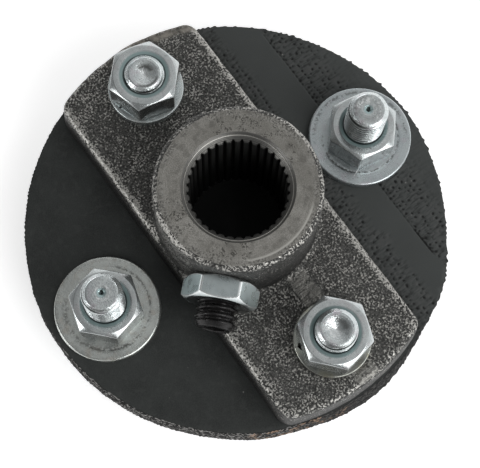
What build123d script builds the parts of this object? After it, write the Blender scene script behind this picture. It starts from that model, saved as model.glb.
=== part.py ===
from build123d import *
import math
import os

os.makedirs("parts", exist_ok=True)

# Frame: millimetres. The origin is on the hub's axis, on the disc's top face. +Z points out of
# the hub's mouth, the bar lies along X and the two free bolts stand on the Y axis.

# Disc
disc_diameter = 85.0
disc_thickness = 7.94
disc_edge_radius = 0.5

# Bolts, all of one thread size and on one bolt circle
bolt_circle_diameter = 62.0
bolt_diameter = 7.94
bolt_hole_gap = 0.15
bolt_head_across_flats = 12.7
bolt_head_height = 5.2
bolt_point_chamfer = 1.1
left_bolt_above_nut = 0.8
right_bolt_above_nut = 2.9
stud_above_nut = 8.9
stud_centre_mark_diameter = 1.8
stud_centre_mark_depth = 0.9
bar_bolt_dish_diameter = 5.0
bar_bolt_dish_depth = 0.5

# Hex nuts
nut_across_flats = 12.7
nut_height = 6.75
nut_countersink_diameter = 9.4
nut_thread_gap = 0.04
hex_chamfer_angle = 30.0
hex_face_share = 0.96

# Washers, the top ones a little off their bolts within the play of their holes
flat_washer_diameter = 21.0
flat_washer_thickness = 1.6
flat_washer_hole_gap = 0.35
flat_washer_edge_radius = 0.3
top_washer_shift = {"back": (0.0, 0.0), "front": (-0.3, 0.07)}
lock_washer_diameter = 15.0
lock_washer_thickness = 2.0
lock_washer_hole_gap = 0.12
lock_washer_split = 0.7
lock_washer_split_slant = 35.0
lock_washer_edge_radius = 0.25

# Bar
bar_width = 32.0
bar_thickness = 7.94
bar_end_inset = 0.5
bar_corner_radius = 3.4
bar_draft_angle = 4.0
bar_top_edge_radius = 1.1
bar_bottom_edge_radius = 0.7
flash_land_width = 3.6
flash_land_height = 0.3
flash_land_gap = 0.6

# Hub
hub_diameter = 31.75
hub_height = 25.4
hub_rim_radius = 1.2
hub_foot_radius = 1.0
hub_flash_width = 3.6
hub_flash_height = 0.5
hub_flash_top_gap = 1.4
counterbore_diameter = 21.1
counterbore_depth = 0.5
lead_in_land = 0.25
spline_major_diameter = 19.05
spline_minor_diameter = 18.1
spline_teeth = 36
spline_space_width = 0.78
spline_root_flat = 0.12

# Set screw and its jam nut
set_screw_angle = -46.0
set_screw_diameter = 7.94
set_screw_length = 14.3
set_screw_setback = 1.0
set_screw_chamfer = 0.9
set_screw_thread_gap = 0.04
set_screw_socket_across_flats = 3.97
set_screw_socket_depth = 4.0
jam_nut_across_flats = 12.7
jam_nut_thickness = 4.5
jam_nut_gap_above_bar = 0.3
jam_nut_seat_depth = 0.3
jam_nut_seat_margin = 1.2
jam_nut_countersink_diameter = 9.0

# Turn of each nut's first corner about its own bolt, from the X axis
nut_turn = {"left": 17.0, "right": -18.5, "back": 19.4, "front": -16.7}
bottom_hex_turn = 30.0
jam_nut_turn = 30.0
lock_washer_turn = {"left": 277.0, "right": 250.0}

# How far from a height an edge may lie and still count as being at it
height_margin = 0.001

# Heights and places worked out from the sizes above
disc_bottom = -disc_thickness
head_seat = disc_bottom - flat_washer_thickness
bar_nut_seat = bar_thickness + lock_washer_thickness
stud_nut_seat = flat_washer_thickness
bolt_circle_radius = bolt_circle_diameter / 2
bolt_places = {
    "left": (-bolt_circle_radius, 0),
    "right": (bolt_circle_radius, 0),
    "back": (0, bolt_circle_radius),
    "front": (0, -bolt_circle_radius),
}
bolt_tops = {
    "left": bar_nut_seat + nut_height + left_bolt_above_nut,
    "right": bar_nut_seat + nut_height + right_bolt_above_nut,
    "back": stud_nut_seat + nut_height + stud_above_nut,
    "front": stud_nut_seat + nut_height + stud_above_nut,
}
bolt_hole_radius = bolt_diameter / 2 + bolt_hole_gap
bar_end_radius = disc_diameter / 2 - bar_end_inset
hub_radius = hub_diameter / 2
bore_radius = spline_minor_diameter / 2
jam_nut_seat_radius = hub_radius - jam_nut_seat_depth
set_screw_height = bar_thickness + jam_nut_gap_above_bar + jam_nut_across_flats / 2
set_screw_inner_end = spline_major_diameter / 2 + set_screw_setback
set_screw_hole_radius = set_screw_diameter / 2 + set_screw_thread_gap


def cylinder(radius, bottom, top, at=(0, 0)):
    """A solid cylinder along Z between two heights."""
    return Pos(at[0], at[1], bottom) * extrude(Circle(radius), amount=top - bottom)


def turned(points):
    """A solid of revolution about Z from (radius, height) points."""
    outline = make_face(Polyline(*[(r, 0, z) for r, z in points], close=True))
    return revolve(outline, axis=Axis.Z)


def edges_at_height(shape, height):
    """The edges of a shape that lie flat at one height."""
    return shape.edges().filter_by_position(Axis.Z, height - height_margin, height + height_margin)


def hex_body(across_flats, height, turn):
    """A hexagonal prism on Z=0 with both faces chamfered to a circle."""
    corner_radius = across_flats / math.sqrt(3)
    face_radius = hex_face_share * across_flats / 2
    drop = (corner_radius - face_radius) * math.tan(math.radians(hex_chamfer_angle))
    prism = extrude(RegularPolygon(corner_radius, 6), amount=height)
    envelope = turned([
        (0, 0),
        (face_radius, 0),
        (corner_radius, drop),
        (corner_radius, height - drop),
        (face_radius, height),
        (0, height),
    ])
    return Rot(0, 0, turn) * (prism & envelope)


def hex_nut(across_flats, height, hole_radius, countersink_diameter, turn):
    """A hex nut on Z=0 with a countersunk hole at each face."""
    mouth_radius = countersink_diameter / 2
    depth = mouth_radius - hole_radius
    hole = turned([
        (0, 0),
        (mouth_radius, 0),
        (hole_radius, depth),
        (hole_radius, height - depth),
        (mouth_radius, height),
        (0, height),
    ])
    return hex_body(across_flats, height, turn) - hole


def flat_washer(bottom, at):
    """A flat washer with rounded outer edges."""
    top = bottom + flat_washer_thickness
    blank = cylinder(flat_washer_diameter / 2, bottom, top, at)
    rims = edges_at_height(blank, bottom) + edges_at_height(blank, top)
    blank = fillet(rims, flat_washer_edge_radius)
    return blank - cylinder(bolt_diameter / 2 + flat_washer_hole_gap, bottom, top, at)


def lock_washer(place):
    """A split spring washer, pressed flat, with a slanted gap."""
    outer_radius = lock_washer_diameter / 2
    ring = cylinder(outer_radius, 0, lock_washer_thickness)
    rims = edges_at_height(ring, 0) + edges_at_height(ring, lock_washer_thickness)
    ring = fillet(rims, lock_washer_edge_radius)
    ring = ring - cylinder(bolt_diameter / 2 + lock_washer_hole_gap, 0, lock_washer_thickness)
    gap_reach = 2 * outer_radius
    gap = Box(gap_reach, lock_washer_split, 4 * lock_washer_thickness)
    gap = Pos(gap_reach / 2, 0, lock_washer_thickness / 2) * Rot(lock_washer_split_slant, 0, 0) * gap
    x, y = bolt_places[place]
    return Pos(x, y, bar_thickness) * Rot(0, 0, lock_washer_turn[place]) * (ring - gap)


def bolt(place, mark_diameter, mark_depth):
    """A hex bolt with its head under the disc and a hollow cone in its end, above the nut."""
    x, y = bolt_places[place]
    top = bolt_tops[place]
    shank = cylinder(bolt_diameter / 2, head_seat, top)
    shank = chamfer(edges_at_height(shank, top), bolt_point_chamfer)
    head = hex_body(bolt_head_across_flats, bolt_head_height, bottom_hex_turn)
    head = Pos(0, 0, head_seat - bolt_head_height) * head
    mark = turned([(0, top - mark_depth), (mark_diameter / 2, top), (0, top)])
    return Pos(x, y, 0) * (head + shank - mark)


def bolt_nut(place, seat):
    """The hex nut on one of the four bolts."""
    x, y = bolt_places[place]
    nut = hex_nut(
        nut_across_flats,
        nut_height,
        bolt_diameter / 2 + nut_thread_gap,
        nut_countersink_diameter,
        nut_turn[place],
    )
    return Pos(x, y, seat) * nut


def rag_disc():
    """The rubber and fabric disc with its four bolt holes."""
    disc = cylinder(disc_diameter / 2, disc_bottom, 0)
    rims = edges_at_height(disc, 0) + edges_at_height(disc, disc_bottom)
    disc = fillet(rims, disc_edge_radius)
    for place in bolt_places.values():
        disc = disc - cylinder(bolt_hole_radius, disc_bottom, 0, place)
    return disc


def bar_blank():
    """The drafted bar with round ends, rounded corners and softened edges."""
    foot_growth = bar_thickness * math.tan(math.radians(bar_draft_angle))
    foot = Circle(bar_end_radius) & Rectangle(4 * bar_end_radius, bar_width + 2 * foot_growth)
    foot = fillet(foot.vertices(), bar_corner_radius)
    blank = extrude(foot, amount=bar_thickness, taper=bar_draft_angle)
    blank = fillet(edges_at_height(blank, bar_thickness), bar_top_edge_radius)
    return fillet(edges_at_height(blank, 0), bar_bottom_edge_radius)


def flash_land():
    """Low trimmed flash along one side of the bar's centre line, clear of the lock washers."""
    end = bar_end_radius - bar_top_edge_radius - bar_thickness * math.tan(math.radians(bar_draft_angle))
    land = Box(2 * end, flash_land_width, 2 * flash_land_height)
    land = Pos(0, flash_land_width / 2, bar_thickness) * land
    clear_radius = lock_washer_diameter / 2 + flash_land_gap
    for place in ("left", "right"):
        bottom = bar_thickness - flash_land_height
        land = land - cylinder(clear_radius, bottom, bottom + 2 * flash_land_height, bolt_places[place])
    return land


def hub_blank():
    """The round hub with a rounded rim, from the disc up to its turned face."""
    blank = cylinder(hub_radius, bar_bottom_edge_radius, hub_height)
    return fillet(edges_at_height(blank, hub_height), hub_rim_radius)


def hub_foot():
    """The hollow round where the hub meets the flat of the bar's top."""
    corner = hub_radius + hub_foot_radius
    top = bar_thickness + hub_foot_radius
    foot = cylinder(corner, bar_thickness, top)
    hollow = revolve(Pos(corner, 0, top) * Rot(90, 0, 0) * Circle(hub_foot_radius), axis=Axis.Z)
    flat_width = bar_width - 2 * bar_top_edge_radius
    return (foot - hollow) & Pos(0, 0, top) * Box(2 * corner, flat_width, 2 * top)


def hub_flash():
    """The trimmed flash that stands a little proud of the hub's left side."""
    height = hub_height - hub_flash_top_gap - bar_thickness
    band = cylinder(hub_radius + hub_flash_height, bar_thickness, bar_thickness + height)
    window = Box(hub_radius, hub_flash_width, height)
    window = Pos(-hub_radius, hub_flash_width / 2, bar_thickness + height / 2) * window
    return band & window


def spline_bore():
    """The space of the splined bore with its counterbore and lead-in cone."""
    major_radius = spline_major_diameter / 2
    cone_top_radius = counterbore_diameter / 2 - lead_in_land
    cone_top = hub_height - counterbore_depth
    cone_bottom = cone_top - (cone_top_radius - bore_radius)
    mouth = turned([
        (0, cone_bottom),
        (bore_radius, cone_bottom),
        (cone_top_radius, cone_top),
        (counterbore_diameter / 2, cone_top),
        (counterbore_diameter / 2, hub_height),
        (0, hub_height),
    ])
    half_width = spline_space_width / 2
    half_flat = spline_root_flat / 2
    inner = bore_radius - half_width
    corners = [(inner, -half_width), (major_radius, -half_flat), (major_radius, half_flat), (inner, half_width)]
    space = make_face(Polyline(*corners, close=True))
    section = Circle(bore_radius)
    for index in range(spline_teeth):
        section = section + Rot(0, 0, index * 360 / spline_teeth) * space
    return extrude(section, amount=cone_top) + mouth


def along_set_screw(shape):
    """Place a shape built along Z so that it lies along the set screw, Z=0 on the hub's axis."""
    return Pos(0, 0, set_screw_height) * Rot(0, 0, set_screw_angle) * Rot(0, 90, 0) * shape


def hub_flange():
    """The bar and hub, one casting, with its holes."""
    casting = bar_blank() + hub_blank()
    casting = casting + hub_foot() + flash_land() + hub_flash()
    seat_width = jam_nut_across_flats / math.cos(math.radians(30)) + jam_nut_seat_margin
    seat_reach = hub_radius
    seat_top = set_screw_height + seat_width / 2
    seat = Box(seat_reach, seat_width, seat_top - bar_thickness)
    seat = Pos(jam_nut_seat_radius + seat_reach / 2, 0, (bar_thickness + seat_top) / 2) * seat
    casting = casting - Rot(0, 0, set_screw_angle) * seat
    casting = casting - along_set_screw(cylinder(set_screw_hole_radius, 0, hub_diameter))
    casting = casting - spline_bore()
    for place in ("left", "right"):
        casting = casting - cylinder(bolt_hole_radius, 0, bar_thickness, bolt_places[place])
    return casting


def set_screw():
    """The headless set screw with a hex socket in its outer end."""
    outer_end = set_screw_inner_end + set_screw_length
    screw = cylinder(set_screw_diameter / 2, set_screw_inner_end, outer_end)
    ends = edges_at_height(screw, set_screw_inner_end) + edges_at_height(screw, outer_end)
    screw = chamfer(ends, set_screw_chamfer)
    socket = RegularPolygon(set_screw_socket_across_flats / math.sqrt(3), 6)
    socket = extrude(socket, amount=set_screw_socket_depth)
    screw = screw - Pos(0, 0, outer_end - set_screw_socket_depth) * socket
    return along_set_screw(screw)


def set_screw_jam_nut():
    """The thin nut that locks the set screw against the flat on the hub."""
    nut = hex_nut(
        jam_nut_across_flats,
        jam_nut_thickness,
        set_screw_hole_radius,
        jam_nut_countersink_diameter,
        jam_nut_turn,
    )
    return along_set_screw(Pos(0, 0, jam_nut_seat_radius) * nut)


pieces = {
    "hub_flange": hub_flange(),
    "rag_disc": rag_disc(),
    "set_screw": set_screw(),
    "set_screw_jam_nut": set_screw_jam_nut(),
}
for place in ("left", "right"):
    pieces[f"bar_bolt_{place}"] = bolt(place, bar_bolt_dish_diameter, bar_bolt_dish_depth)
    pieces[f"bar_bottom_washer_{place}"] = flat_washer(head_seat, bolt_places[place])
    pieces[f"bar_lock_washer_{place}"] = lock_washer(place)
    pieces[f"bar_nut_{place}"] = bolt_nut(place, bar_nut_seat)
for place in ("back", "front"):
    pieces[f"stud_bolt_{place}"] = bolt(place, stud_centre_mark_diameter, stud_centre_mark_depth)
    pieces[f"stud_bottom_washer_{place}"] = flat_washer(head_seat, bolt_places[place])
    x = bolt_places[place][0] + top_washer_shift[place][0]
    y = bolt_places[place][1] + top_washer_shift[place][1]
    pieces[f"stud_top_washer_{place}"] = flat_washer(0, (x, y))
    pieces[f"stud_nut_{place}"] = bolt_nut(place, stud_nut_seat)

for name, piece in pieces.items():
    export_step(piece, f"parts/{name}.step")
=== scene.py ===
import math
import bmesh
import bpy
import numpy as np
from mathutils import Matrix, Vector, noise
from mathutils.geometry import delaunay_2d_cdt


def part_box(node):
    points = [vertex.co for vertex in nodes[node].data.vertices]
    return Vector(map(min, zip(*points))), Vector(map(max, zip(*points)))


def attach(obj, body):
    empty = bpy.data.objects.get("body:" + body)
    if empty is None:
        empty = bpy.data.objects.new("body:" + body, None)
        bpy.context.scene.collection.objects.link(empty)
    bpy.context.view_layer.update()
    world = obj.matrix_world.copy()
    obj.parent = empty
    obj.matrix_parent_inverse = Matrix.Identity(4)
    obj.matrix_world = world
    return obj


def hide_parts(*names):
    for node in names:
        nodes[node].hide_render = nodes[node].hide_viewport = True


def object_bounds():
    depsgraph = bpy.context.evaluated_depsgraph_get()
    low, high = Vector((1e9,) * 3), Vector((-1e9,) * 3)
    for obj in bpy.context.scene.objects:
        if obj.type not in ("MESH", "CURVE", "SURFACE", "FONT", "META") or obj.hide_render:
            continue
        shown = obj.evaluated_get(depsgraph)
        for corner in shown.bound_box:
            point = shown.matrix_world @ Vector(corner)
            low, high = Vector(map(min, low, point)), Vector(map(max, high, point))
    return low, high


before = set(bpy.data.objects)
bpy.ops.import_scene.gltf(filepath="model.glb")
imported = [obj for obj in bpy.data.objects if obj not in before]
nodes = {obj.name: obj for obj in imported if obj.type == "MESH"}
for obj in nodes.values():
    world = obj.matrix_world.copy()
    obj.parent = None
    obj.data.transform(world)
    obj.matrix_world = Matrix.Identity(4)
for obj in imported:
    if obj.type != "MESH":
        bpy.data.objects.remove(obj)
cad_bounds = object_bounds()

# Sizes are in millimetres of the row frame. MM turns them into metres where a mesh is made.
MM = 0.001

# Camera: where it stands, how it is turned and how long its lens is
CAMERA_PLACE = Vector((53.717, -43.653, 254.405))
CAMERA_BACK = Vector((0.19553, -0.16327, 0.96701))
CAMERA_RIGHT = Vector((0.58414, 0.81143, 0.01888))
SENSOR_WIDTH = 36.0
LENS = 98.36

# Studio: heights on the unit sphere between which the tent fades from white to its overhead level
TENT_WHITE_BELOW = 0.12
TENT_DIM_ABOVE = 0.6
TENT_OVERHEAD = 0.47
# The tent's bright side: its direction, where the change begins and ends, and the two levels
TENT_BRIGHT_SIDE = math.radians(80)
TENT_DARK_UNTIL = -0.36
TENT_BRIGHT_FROM = 0.34
TENT_DARK_LEVEL = 0.36
TENT_BRIGHT_LEVEL = 1.22
# Soft boxes: azimuth and elevation in degrees, then distance, width and height in metres, and power
LAMPS = {"key": (10, 42, 0.8, 0.6, 0.6, 3.4), "left": (-102, 28, 0.7, 0.3, 0.25, 1.0)}
FLOOR_GLOW = 0.5
FLOOR_GAP = 0.05
FLOOR_HALF_WIDTH = 1500.0

# Fasteners
BOLT_RADIUS = 3.97
BOLT_PITCH = 1.058
BOLT_THREAD_DEPTH = 0.6
BOLT_THREAD_START = 0.8
BOLT_END_RADIUS = 3.1
BOLT_CHAMFER_HEIGHT = 0.75
BOLT_NECK = 0.25
END_RINGS = 34
TURNING_MARK_PITCH = 0.42
TURNING_MARK_DEPTH = 0.004
END_EDGE_DROP = 0.08
THREAD_GAP = 0.04
THREAD_ROWS = 11
HEX_SEGMENTS = 168
HEX_CORNER_CROWDING = 0.12
HEX_FACE_SHARE = 0.95
HEX_CHAMFER_SLOPE = math.tan(math.radians(30))
HEX_SHARPNESS = 70
EDGE_SOFTNESS = 0.1
HEAD_TURN = math.radians(30)
NUT_TURNS = {"left": 17.0, "right": -18.5, "back": 19.4, "front": -16.7}
COUNTERSINK_RADIUS = 4.75
COUNTERSINK_SLOPE = 0.22
DISH_RADIUS = 2.75
DISH_DEPTH = 0.9
MARK_RADIUS = 0.9
MARK_DEPTH = 0.7
MARK_CORE = np.array([-0.2, 0.15])
# Patches of painted shade and dark reflection, and painted glints, on the bolts and nuts: direction in
# degrees, how narrow, radius, width, evenness, strength
BOLT_PAINTED_SHADE = {
    "left": [(134, 0.4, 1.5, 0.9, 0.5, 0.75), (351, 0.5, 2.7, 0.45, 1, 0.7)],
    "right": [(104, 0.5, 1.7, 1.0, 0.6, 0.55), (324, 0.7, 3.4, 0.5, 1, 0.6)],
    "back": [(200, 0.2, 2.6, 0.5, 0, 0.5), (0, -1.3, 2.0, 1.4, 0.6, 0.3)],
    "front": [(150, 0.3, 0.9, 0.5, 0, 0.6), (330, 0.5, 3.4, 0.4, 0.5, 0.5)],
}
BOLT_GLINTS = {
    "left": [(0, -1.3, 0.3, 1.1, 1, 0.45)],
    "right": [(280, 0.2, 1.5, 0.5, 0, 0.7), (314, -0.2, 1.0, 0.8, 1, 0.35), (0, -1.3, 0.2, 0.9, 1, 0.5)],
    "back": [(174, 0.5, 1.9, 1.0, 0, 0.9), (60, 0.2, 2.3, 0.5, 0, 0.5)],
    "front": [(180, -1.3, 1.3, 0.5, -0.1, 0.9)],
}
# Patches of painted shade on two nuts' corners, in the same columns
NUT_PAINTED_SHADE = {"right": [(342, 0.75, 7.1, 0.8, 1, 0.6)], "front": [(343, 0.75, 7.1, 0.8, 1, 0.6)]}
# Nut sides painted dark as shade: their direction in degrees and how dark
NUT_SHADED_FLANKS = {
    "left": [(347, 0.75), (287, 0.5)],
    "back": [(289.4, 0.3), (349.4, 0.5)],
    "front": [(313.3, 0.55)],
}
FLAT_WASHER_SEGMENTS = 160
WASHER_HOLE_RADIUS = 4.32
WASHER_EDGE_ROUND = 0.45
WASHER_WARP = 0.025
WASHER_FLAT_UNTIL = 7.0
# Pressed ring marks on the flat washers: radius, depth, direction in degrees, and how far they reach round
PLAIN_WASHER = (7.8, 0.0, 0, 0.0)
WASHER_GROOVES = {"back": (7.85, 0.07, 20, -0.5), "front": (8.3, 0.035, 60, -0.8)}
LOCK_WASHER_SEGMENTS = 150
LOCK_WASHER_HOLE_RADIUS = 4.09
LOCK_WASHER_EDGE_ROUND = 0.22
LOCK_WASHER_TURNS = {"left": 277.0, "right": 250.0}
LOCK_WASHER_SPLITS = {"left": 0.55, "right": 1.7}
LOCK_WASHER_SPLIT_RIM = 6.9
LOCK_WASHER_RIM_GAP = 0.05
LOCK_WASHER_RADII = [6.9, 6.65, 6.4, 6.0, 5.5, 5.0]
LOCK_WASHER_SLANT = math.radians(14)

# Set screw and jam nut, along an axis that leaves the hub at an angle
SCREW_ANGLE = math.radians(-46)
SCREW_PITCH = 1.411
SCREW_THREAD_DEPTH = 0.75
SCREW_INNER_END = 10.525
SCREW_OUTER_END = 24.825
SCREW_END_RADIUS = 3.07
SCREW_CHAMFER_HEIGHT = 0.9
SCREW_POINT = 0.9
SOCKET_ACROSS_FLATS = 3.97
SOCKET_DEPTH = 4.0
JAM_NUT_SEAT = 15.575
JAM_NUT_THICKNESS = 4.5
JAM_NUT_MOUTH_RADIUS = 4.5
JAM_NUT_TURN = math.radians(30)
# Reaches over which the jam nut's outer end face is painted dark as shade
JAM_NUT_SHADED_FACE = (5.9, 6.05)
# Jam nut sides with a colour of their own, a painted highlight on one and a teal tint on another: direction
# in degrees, strength and colour
JAM_NUT_GLINTS_AND_TINTS = [(120, 0.75, (0.78, 0.89, 0.90)), (240, 0.5, (0.42, 0.55, 0.56))]
SEAT_HALF_WIDTH = 7.95
SEAT_OUTER_END = 25.0

# Hub and bar
VOXEL = 0.38
# Longer edges than this cross a face that was cut flat
LONGEST_SKIN_EDGE = 1.0
BAR_HALF_LENGTH = 42.0
LEFT_END_HIGH_SPOT = 176
LEFT_END_FILED = 0.24
CAST_LUMP = 0.07
CAST_GRAIN = 0.05
FLASH_TRIMMED_UNTIL = -15.0
FLASH_LAYER = 0.6
HUB_FOOT_RADIUS = 17.3
# Patches where the flash was ground off, beside the hub and at the right end: their soft borders
GROUND_NEAR_X = ((16.2, 16.8), (22.6, 23.4))
GROUND_NEAR_Y = ((-0.3, 0.1), (3.6, 4.2))
GROUND_END_X = (38.0, 38.5)
GROUND_END_Y = ((-1.1, -0.6), (3.6, 4.2))
GROUND_HEIGHT = 0.13

# Where looks begin and are complete on the casting: along the bar, across it, by height or by reach
RIGHT_END = (28.0, 36.0)
RIGHT_END_RUB = (30.0, 38.0)
RUBBED_BORDER = (14.3, 15.2)
RUBBED_BORDER_END = (26.0, 34.0)
LEFT_END = (30.0, 34.0)
LEFT_END_REACH = (36.0, 40.0)
# Painted shade on the hub's walls: where it begins above the bar, and how it fades higher up
HUB_SHADE_FROM = (7.8, 8.2)
HUB_SHADE_FADE = (9.0, 21.0)
TURNED_RIM = (13.55, 13.95)
TURNED_RIM_LINE_END = (14.0, 14.25)
# Heights where the bore's painted shade gives way to lighter steel, and then to its turned mouth
BORE_DEEP = (5.0, 20.0)
BORE_MOUTH = (23.6, 24.2)
SCORCH_REACH = (38.7, 39.8)
SCORCH_HEIGHT = (5.0, 6.0)
SCORCH_ARC = ((148, 158), (172, 188))
# Directions of looks on the hub face, in degrees
PITTED_SIDES = (152, 122, 96, 262, 318)
# Where the rim of the turned face carries a painted highlight
RIM_HIGHLIGHT_SIDE = 5

# Bore and holes. The blank is filled wider than they are, and they are cut into it again.
BORE_RADIUS = 9.05
SPLINE_MAJOR_RADIUS = 9.525
SPLINE_TEETH = 36
SPLINE_SPACE_WIDTH = 0.78
SPLINE_ROOT_FLAT = 0.12
SPLINE_CORNER = 0.015
COUNTERBORE_DEPTH = 0.5
LEAD_IN_RADIUS = 10.2
# The rolled lip of the counterbore: steps outward and upward from the lead-in cone's top
COUNTERBORE_LIP = [
    (-0.16, 0.07), (-0.1, 0.1), (-0.04, 0.05), (0, 0), (0.05, 0.02), (0.35, 0.43), (0.45, 0.52),
]
TURNED_FACE_RADIUS = 14.45
HOLE_RADIUS = 4.12
FILLED_BORE_RADIUS = 11.15
FILLED_HOLE_RADIUS = 4.62
FILL_BOTTOM = 0.3
HUB_SHADOW_RADIUS = 9.8

# Disc
DISC_SEGMENTS = 1200
SIDE_ROWS = 36
PLY_COUNT = 7
EDGE_YARNS = 210
COARSE_YARN_STEP = 1.45
FINE_YARN_STEP = 0.8
PLY_SEAM = 0.09
TOP_EDGE_ROUND = 0.15
BOTTOM_EDGE_ROUND = 0.3
# Swellings of its outline: angle, half width in degrees, height, and share of it at the top edge
DISC_SWELLS = [
    (6, 18, 1.35, 0.25),
    (37, 10, 0.8, 1.0),
    (152, 4, 0.2, 1.0),
    (203, 6, 0.18, 1.0),
    (262, 9, 0.2, 1.0),
    (352, 6, 0.12, 0.5),
    (86, 8, 0.25, 1.0),
    (147, 13, 0.35, 1.0),
    (277, 24, 0.4, 0.5),
    (332, 10, 0.4, 0.5),
]
# The top edge leans back on the side where the mould was opened
NEAR_SIDE = math.radians(321)
TOP_EDGE_PULL = 0.4
COARSE_SPACING = 0.95
FINE_SPACING = 0.2
FABRIC_ROW_X = 1.08
FABRIC_ROW_Y = 1.12
DENT_DEPTH = 0.24
DENT_RADIUS = 0.32
CUT_DOT_PITCH = 1.15
CUT_DEPTH = 0.26
CUT_LINE_Y = 28.45
CUT_LINE_ENDS = ((-31, -28), (26.5, 29.5))
# The cloth print and the paler strip across the disc, by Y
BAR_EDGE_Y = 15.6
STRIP_EDGE_Y = 21.2
CLOTH_BY_BAR_END = (20.8, 23.0)
CLOTH_OUTSIDE_FADE = (33.5, 38.0)
# Directions of looks on the disc's side, in degrees
FRAYED_SIDE = 300
BROWN_SIDE = 341


def node_box(name):
    """The lowest and highest corner of a CAD node, in millimetres."""
    low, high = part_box(name)
    return np.array(low) / MM, np.array(high) / MM


def node_axis(name):
    """The x and y of the upright line through the middle of a CAD node."""
    low, high = node_box(name)
    return (low[:2] + high[:2]) / 2


# Sizes that the CAD frame gives
HUB_TOP = node_box("hub_flange")[1][2]
BAR_TOP = node_box("bar_lock_washer_left")[0][2]
HEAD_SEAT = node_box("stud_bottom_washer_back")[0][2]
DISC_BOTTOM = node_box("rag_disc")[0][2]
DISC_RADIUS = node_box("rag_disc")[1][0]
HEX_WIDTH = node_box("stud_bolt_back")[1][0] - node_box("stud_bolt_back")[0][0]
BOLT_NODES = ["bar_bolt_left", "bar_bolt_right", "stud_bolt_back", "stud_bolt_front"]


# Points and smooth functions

def as_points(x, y, z=0.0):
    """Points from their coordinates. Each is one value for all points or one value for each."""
    return np.stack(np.broadcast_arrays(x, y, z), axis=1)


def reach_of(places):
    """Each point's distance from the Z axis."""
    return np.hypot(places[:, 0], places[:, 1])


def facing_of(places):
    """Each point's direction seen from the Z axis, in radians."""
    return np.arctan2(places[:, 1], places[:, 0])


def roughness_of(points, size, seed=0.0):
    """Smooth noise between about -1 and 1 at each point, with lumps of one size."""
    shift = Vector((seed, 2.3 * seed, 3.7 * seed))
    return np.array([noise.noise(Vector(p) / size + shift) for p in points])


def smooth_step(values, low, high):
    """0 below low, 1 above high and a smooth rise between."""
    share = np.clip((np.asarray(values, float) - low) / (high - low), 0, 1)
    return share * share * (3 - 2 * share)


def band(values, rise, fall):
    """1 between two soft borders. Each border is given by where it begins and ends."""
    return smooth_step(values, *rise) * (1 - smooth_step(values, *fall))


def bell(values, width):
    """1 where values are 0, and less with a smooth fall to both sides."""
    return np.exp(-(values / width) ** 2)


# Mesh building

def circle(angles, radius, height):
    """A closed ring of points about Z. Radius and height are numbers or one value for each angle."""
    return as_points(radius * np.cos(angles), radius * np.sin(angles), height)


def circles(angles, profile):
    """Rings about Z, from a list of radii and heights."""
    return [circle(angles, radius, height) for radius, height in profile]


def even_angles(count):
    """Angles evenly spaced around a full turn."""
    return np.arange(count) * 2 * math.pi / count


def ring_faces(ring_count, count, closed=False, first=0):
    """Quads that join each ring of points to the next."""
    last = ring_count if closed else ring_count - 1
    here = np.arange(last)[:, None] * count
    there = (here + count) % (ring_count * count)
    point = np.arange(count)[None, :]
    after = (point + 1) % count
    quads = np.stack([here + point, here + after, there + after, there + point], axis=-1)
    return (quads.reshape(-1, 4) + first).tolist()


def skin(rings, closed=False, first_end=None, last_end=None):
    """Points and faces through rings. An end is a centre point that closes the first or last ring."""
    count = len(rings[0])
    points = np.concatenate(rings)
    faces = ring_faces(len(rings), count, closed)
    for centre, start in ((first_end, 0), (last_end, (len(rings) - 1) * count)):
        if centre is None:
            continue
        tip = len(points)
        points = np.vstack([points, centre])
        faces += [(start + i, start + (i + 1) % count, tip) for i in range(count)]
    return points, faces


def new_mesh(name, points, faces, merge=0.0):
    """A mesh in metres with its normals outward."""
    mesh = bpy.data.meshes.new(name)
    mesh.from_pydata((np.asarray(points) * MM).tolist(), [], faces)
    shape = bmesh.new()
    shape.from_mesh(mesh)
    if merge:
        bmesh.ops.remove_doubles(shape, verts=shape.verts, dist=merge * MM)
    bmesh.ops.recalc_face_normals(shape, faces=shape.faces)
    shape.to_mesh(mesh)
    shape.free()
    return mesh


def skin_mesh(name, rings, first_end=None, last_end=None):
    """A mesh through rings. Without end points its last ring is joined to its first."""
    return new_mesh(name, *skin(rings, first_end is None, first_end, last_end))


def add_layer(mesh, name, values):
    """Store a number between 0 and 1 on each point."""
    layer = mesh.attributes.new(name, "FLOAT", "POINT")
    layer.data.foreach_set("value", np.clip(values, 0, 1).astype(np.float32))


def point_places(mesh):
    """The places of a mesh's points in millimetres."""
    places = np.empty(len(mesh.vertices) * 3)
    mesh.vertices.foreach_get("co", places)
    return places.reshape(-1, 3) / MM


def move_points(mesh, places):
    """Put a mesh's points at new places, given in millimetres."""
    mesh.vertices.foreach_set("co", (places * MM).ravel())
    mesh.update()


def point_normals(mesh):
    """The directions in which a mesh's points face."""
    normals = np.empty(len(mesh.vertices) * 3)
    mesh.vertex_normals.foreach_get("vector", normals)
    return normals.reshape(-1, 3)


def add_object(name, mesh, matrix=Matrix()):
    """An object that shows a mesh."""
    piece = bpy.data.objects.new(name, mesh)
    piece.matrix_world = matrix
    bpy.context.scene.collection.objects.link(piece)
    return piece


def stand_in(node, suffix, mesh, matrix=Matrix()):
    """Add the finer piece that is shown in place of a CAD node."""
    piece = add_object(f"{node}_{suffix}", mesh, matrix)
    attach(piece, "root")
    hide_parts(node)


def dress(mesh, paint, sharp_angle=38.0):
    """Smooth a mesh and paint it."""
    mesh.shade_smooth()
    mesh.set_sharp_from_angle(angle=math.radians(sharp_angle))
    mesh.materials.append(paint)
    return mesh


# Hexagons and threads

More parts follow.
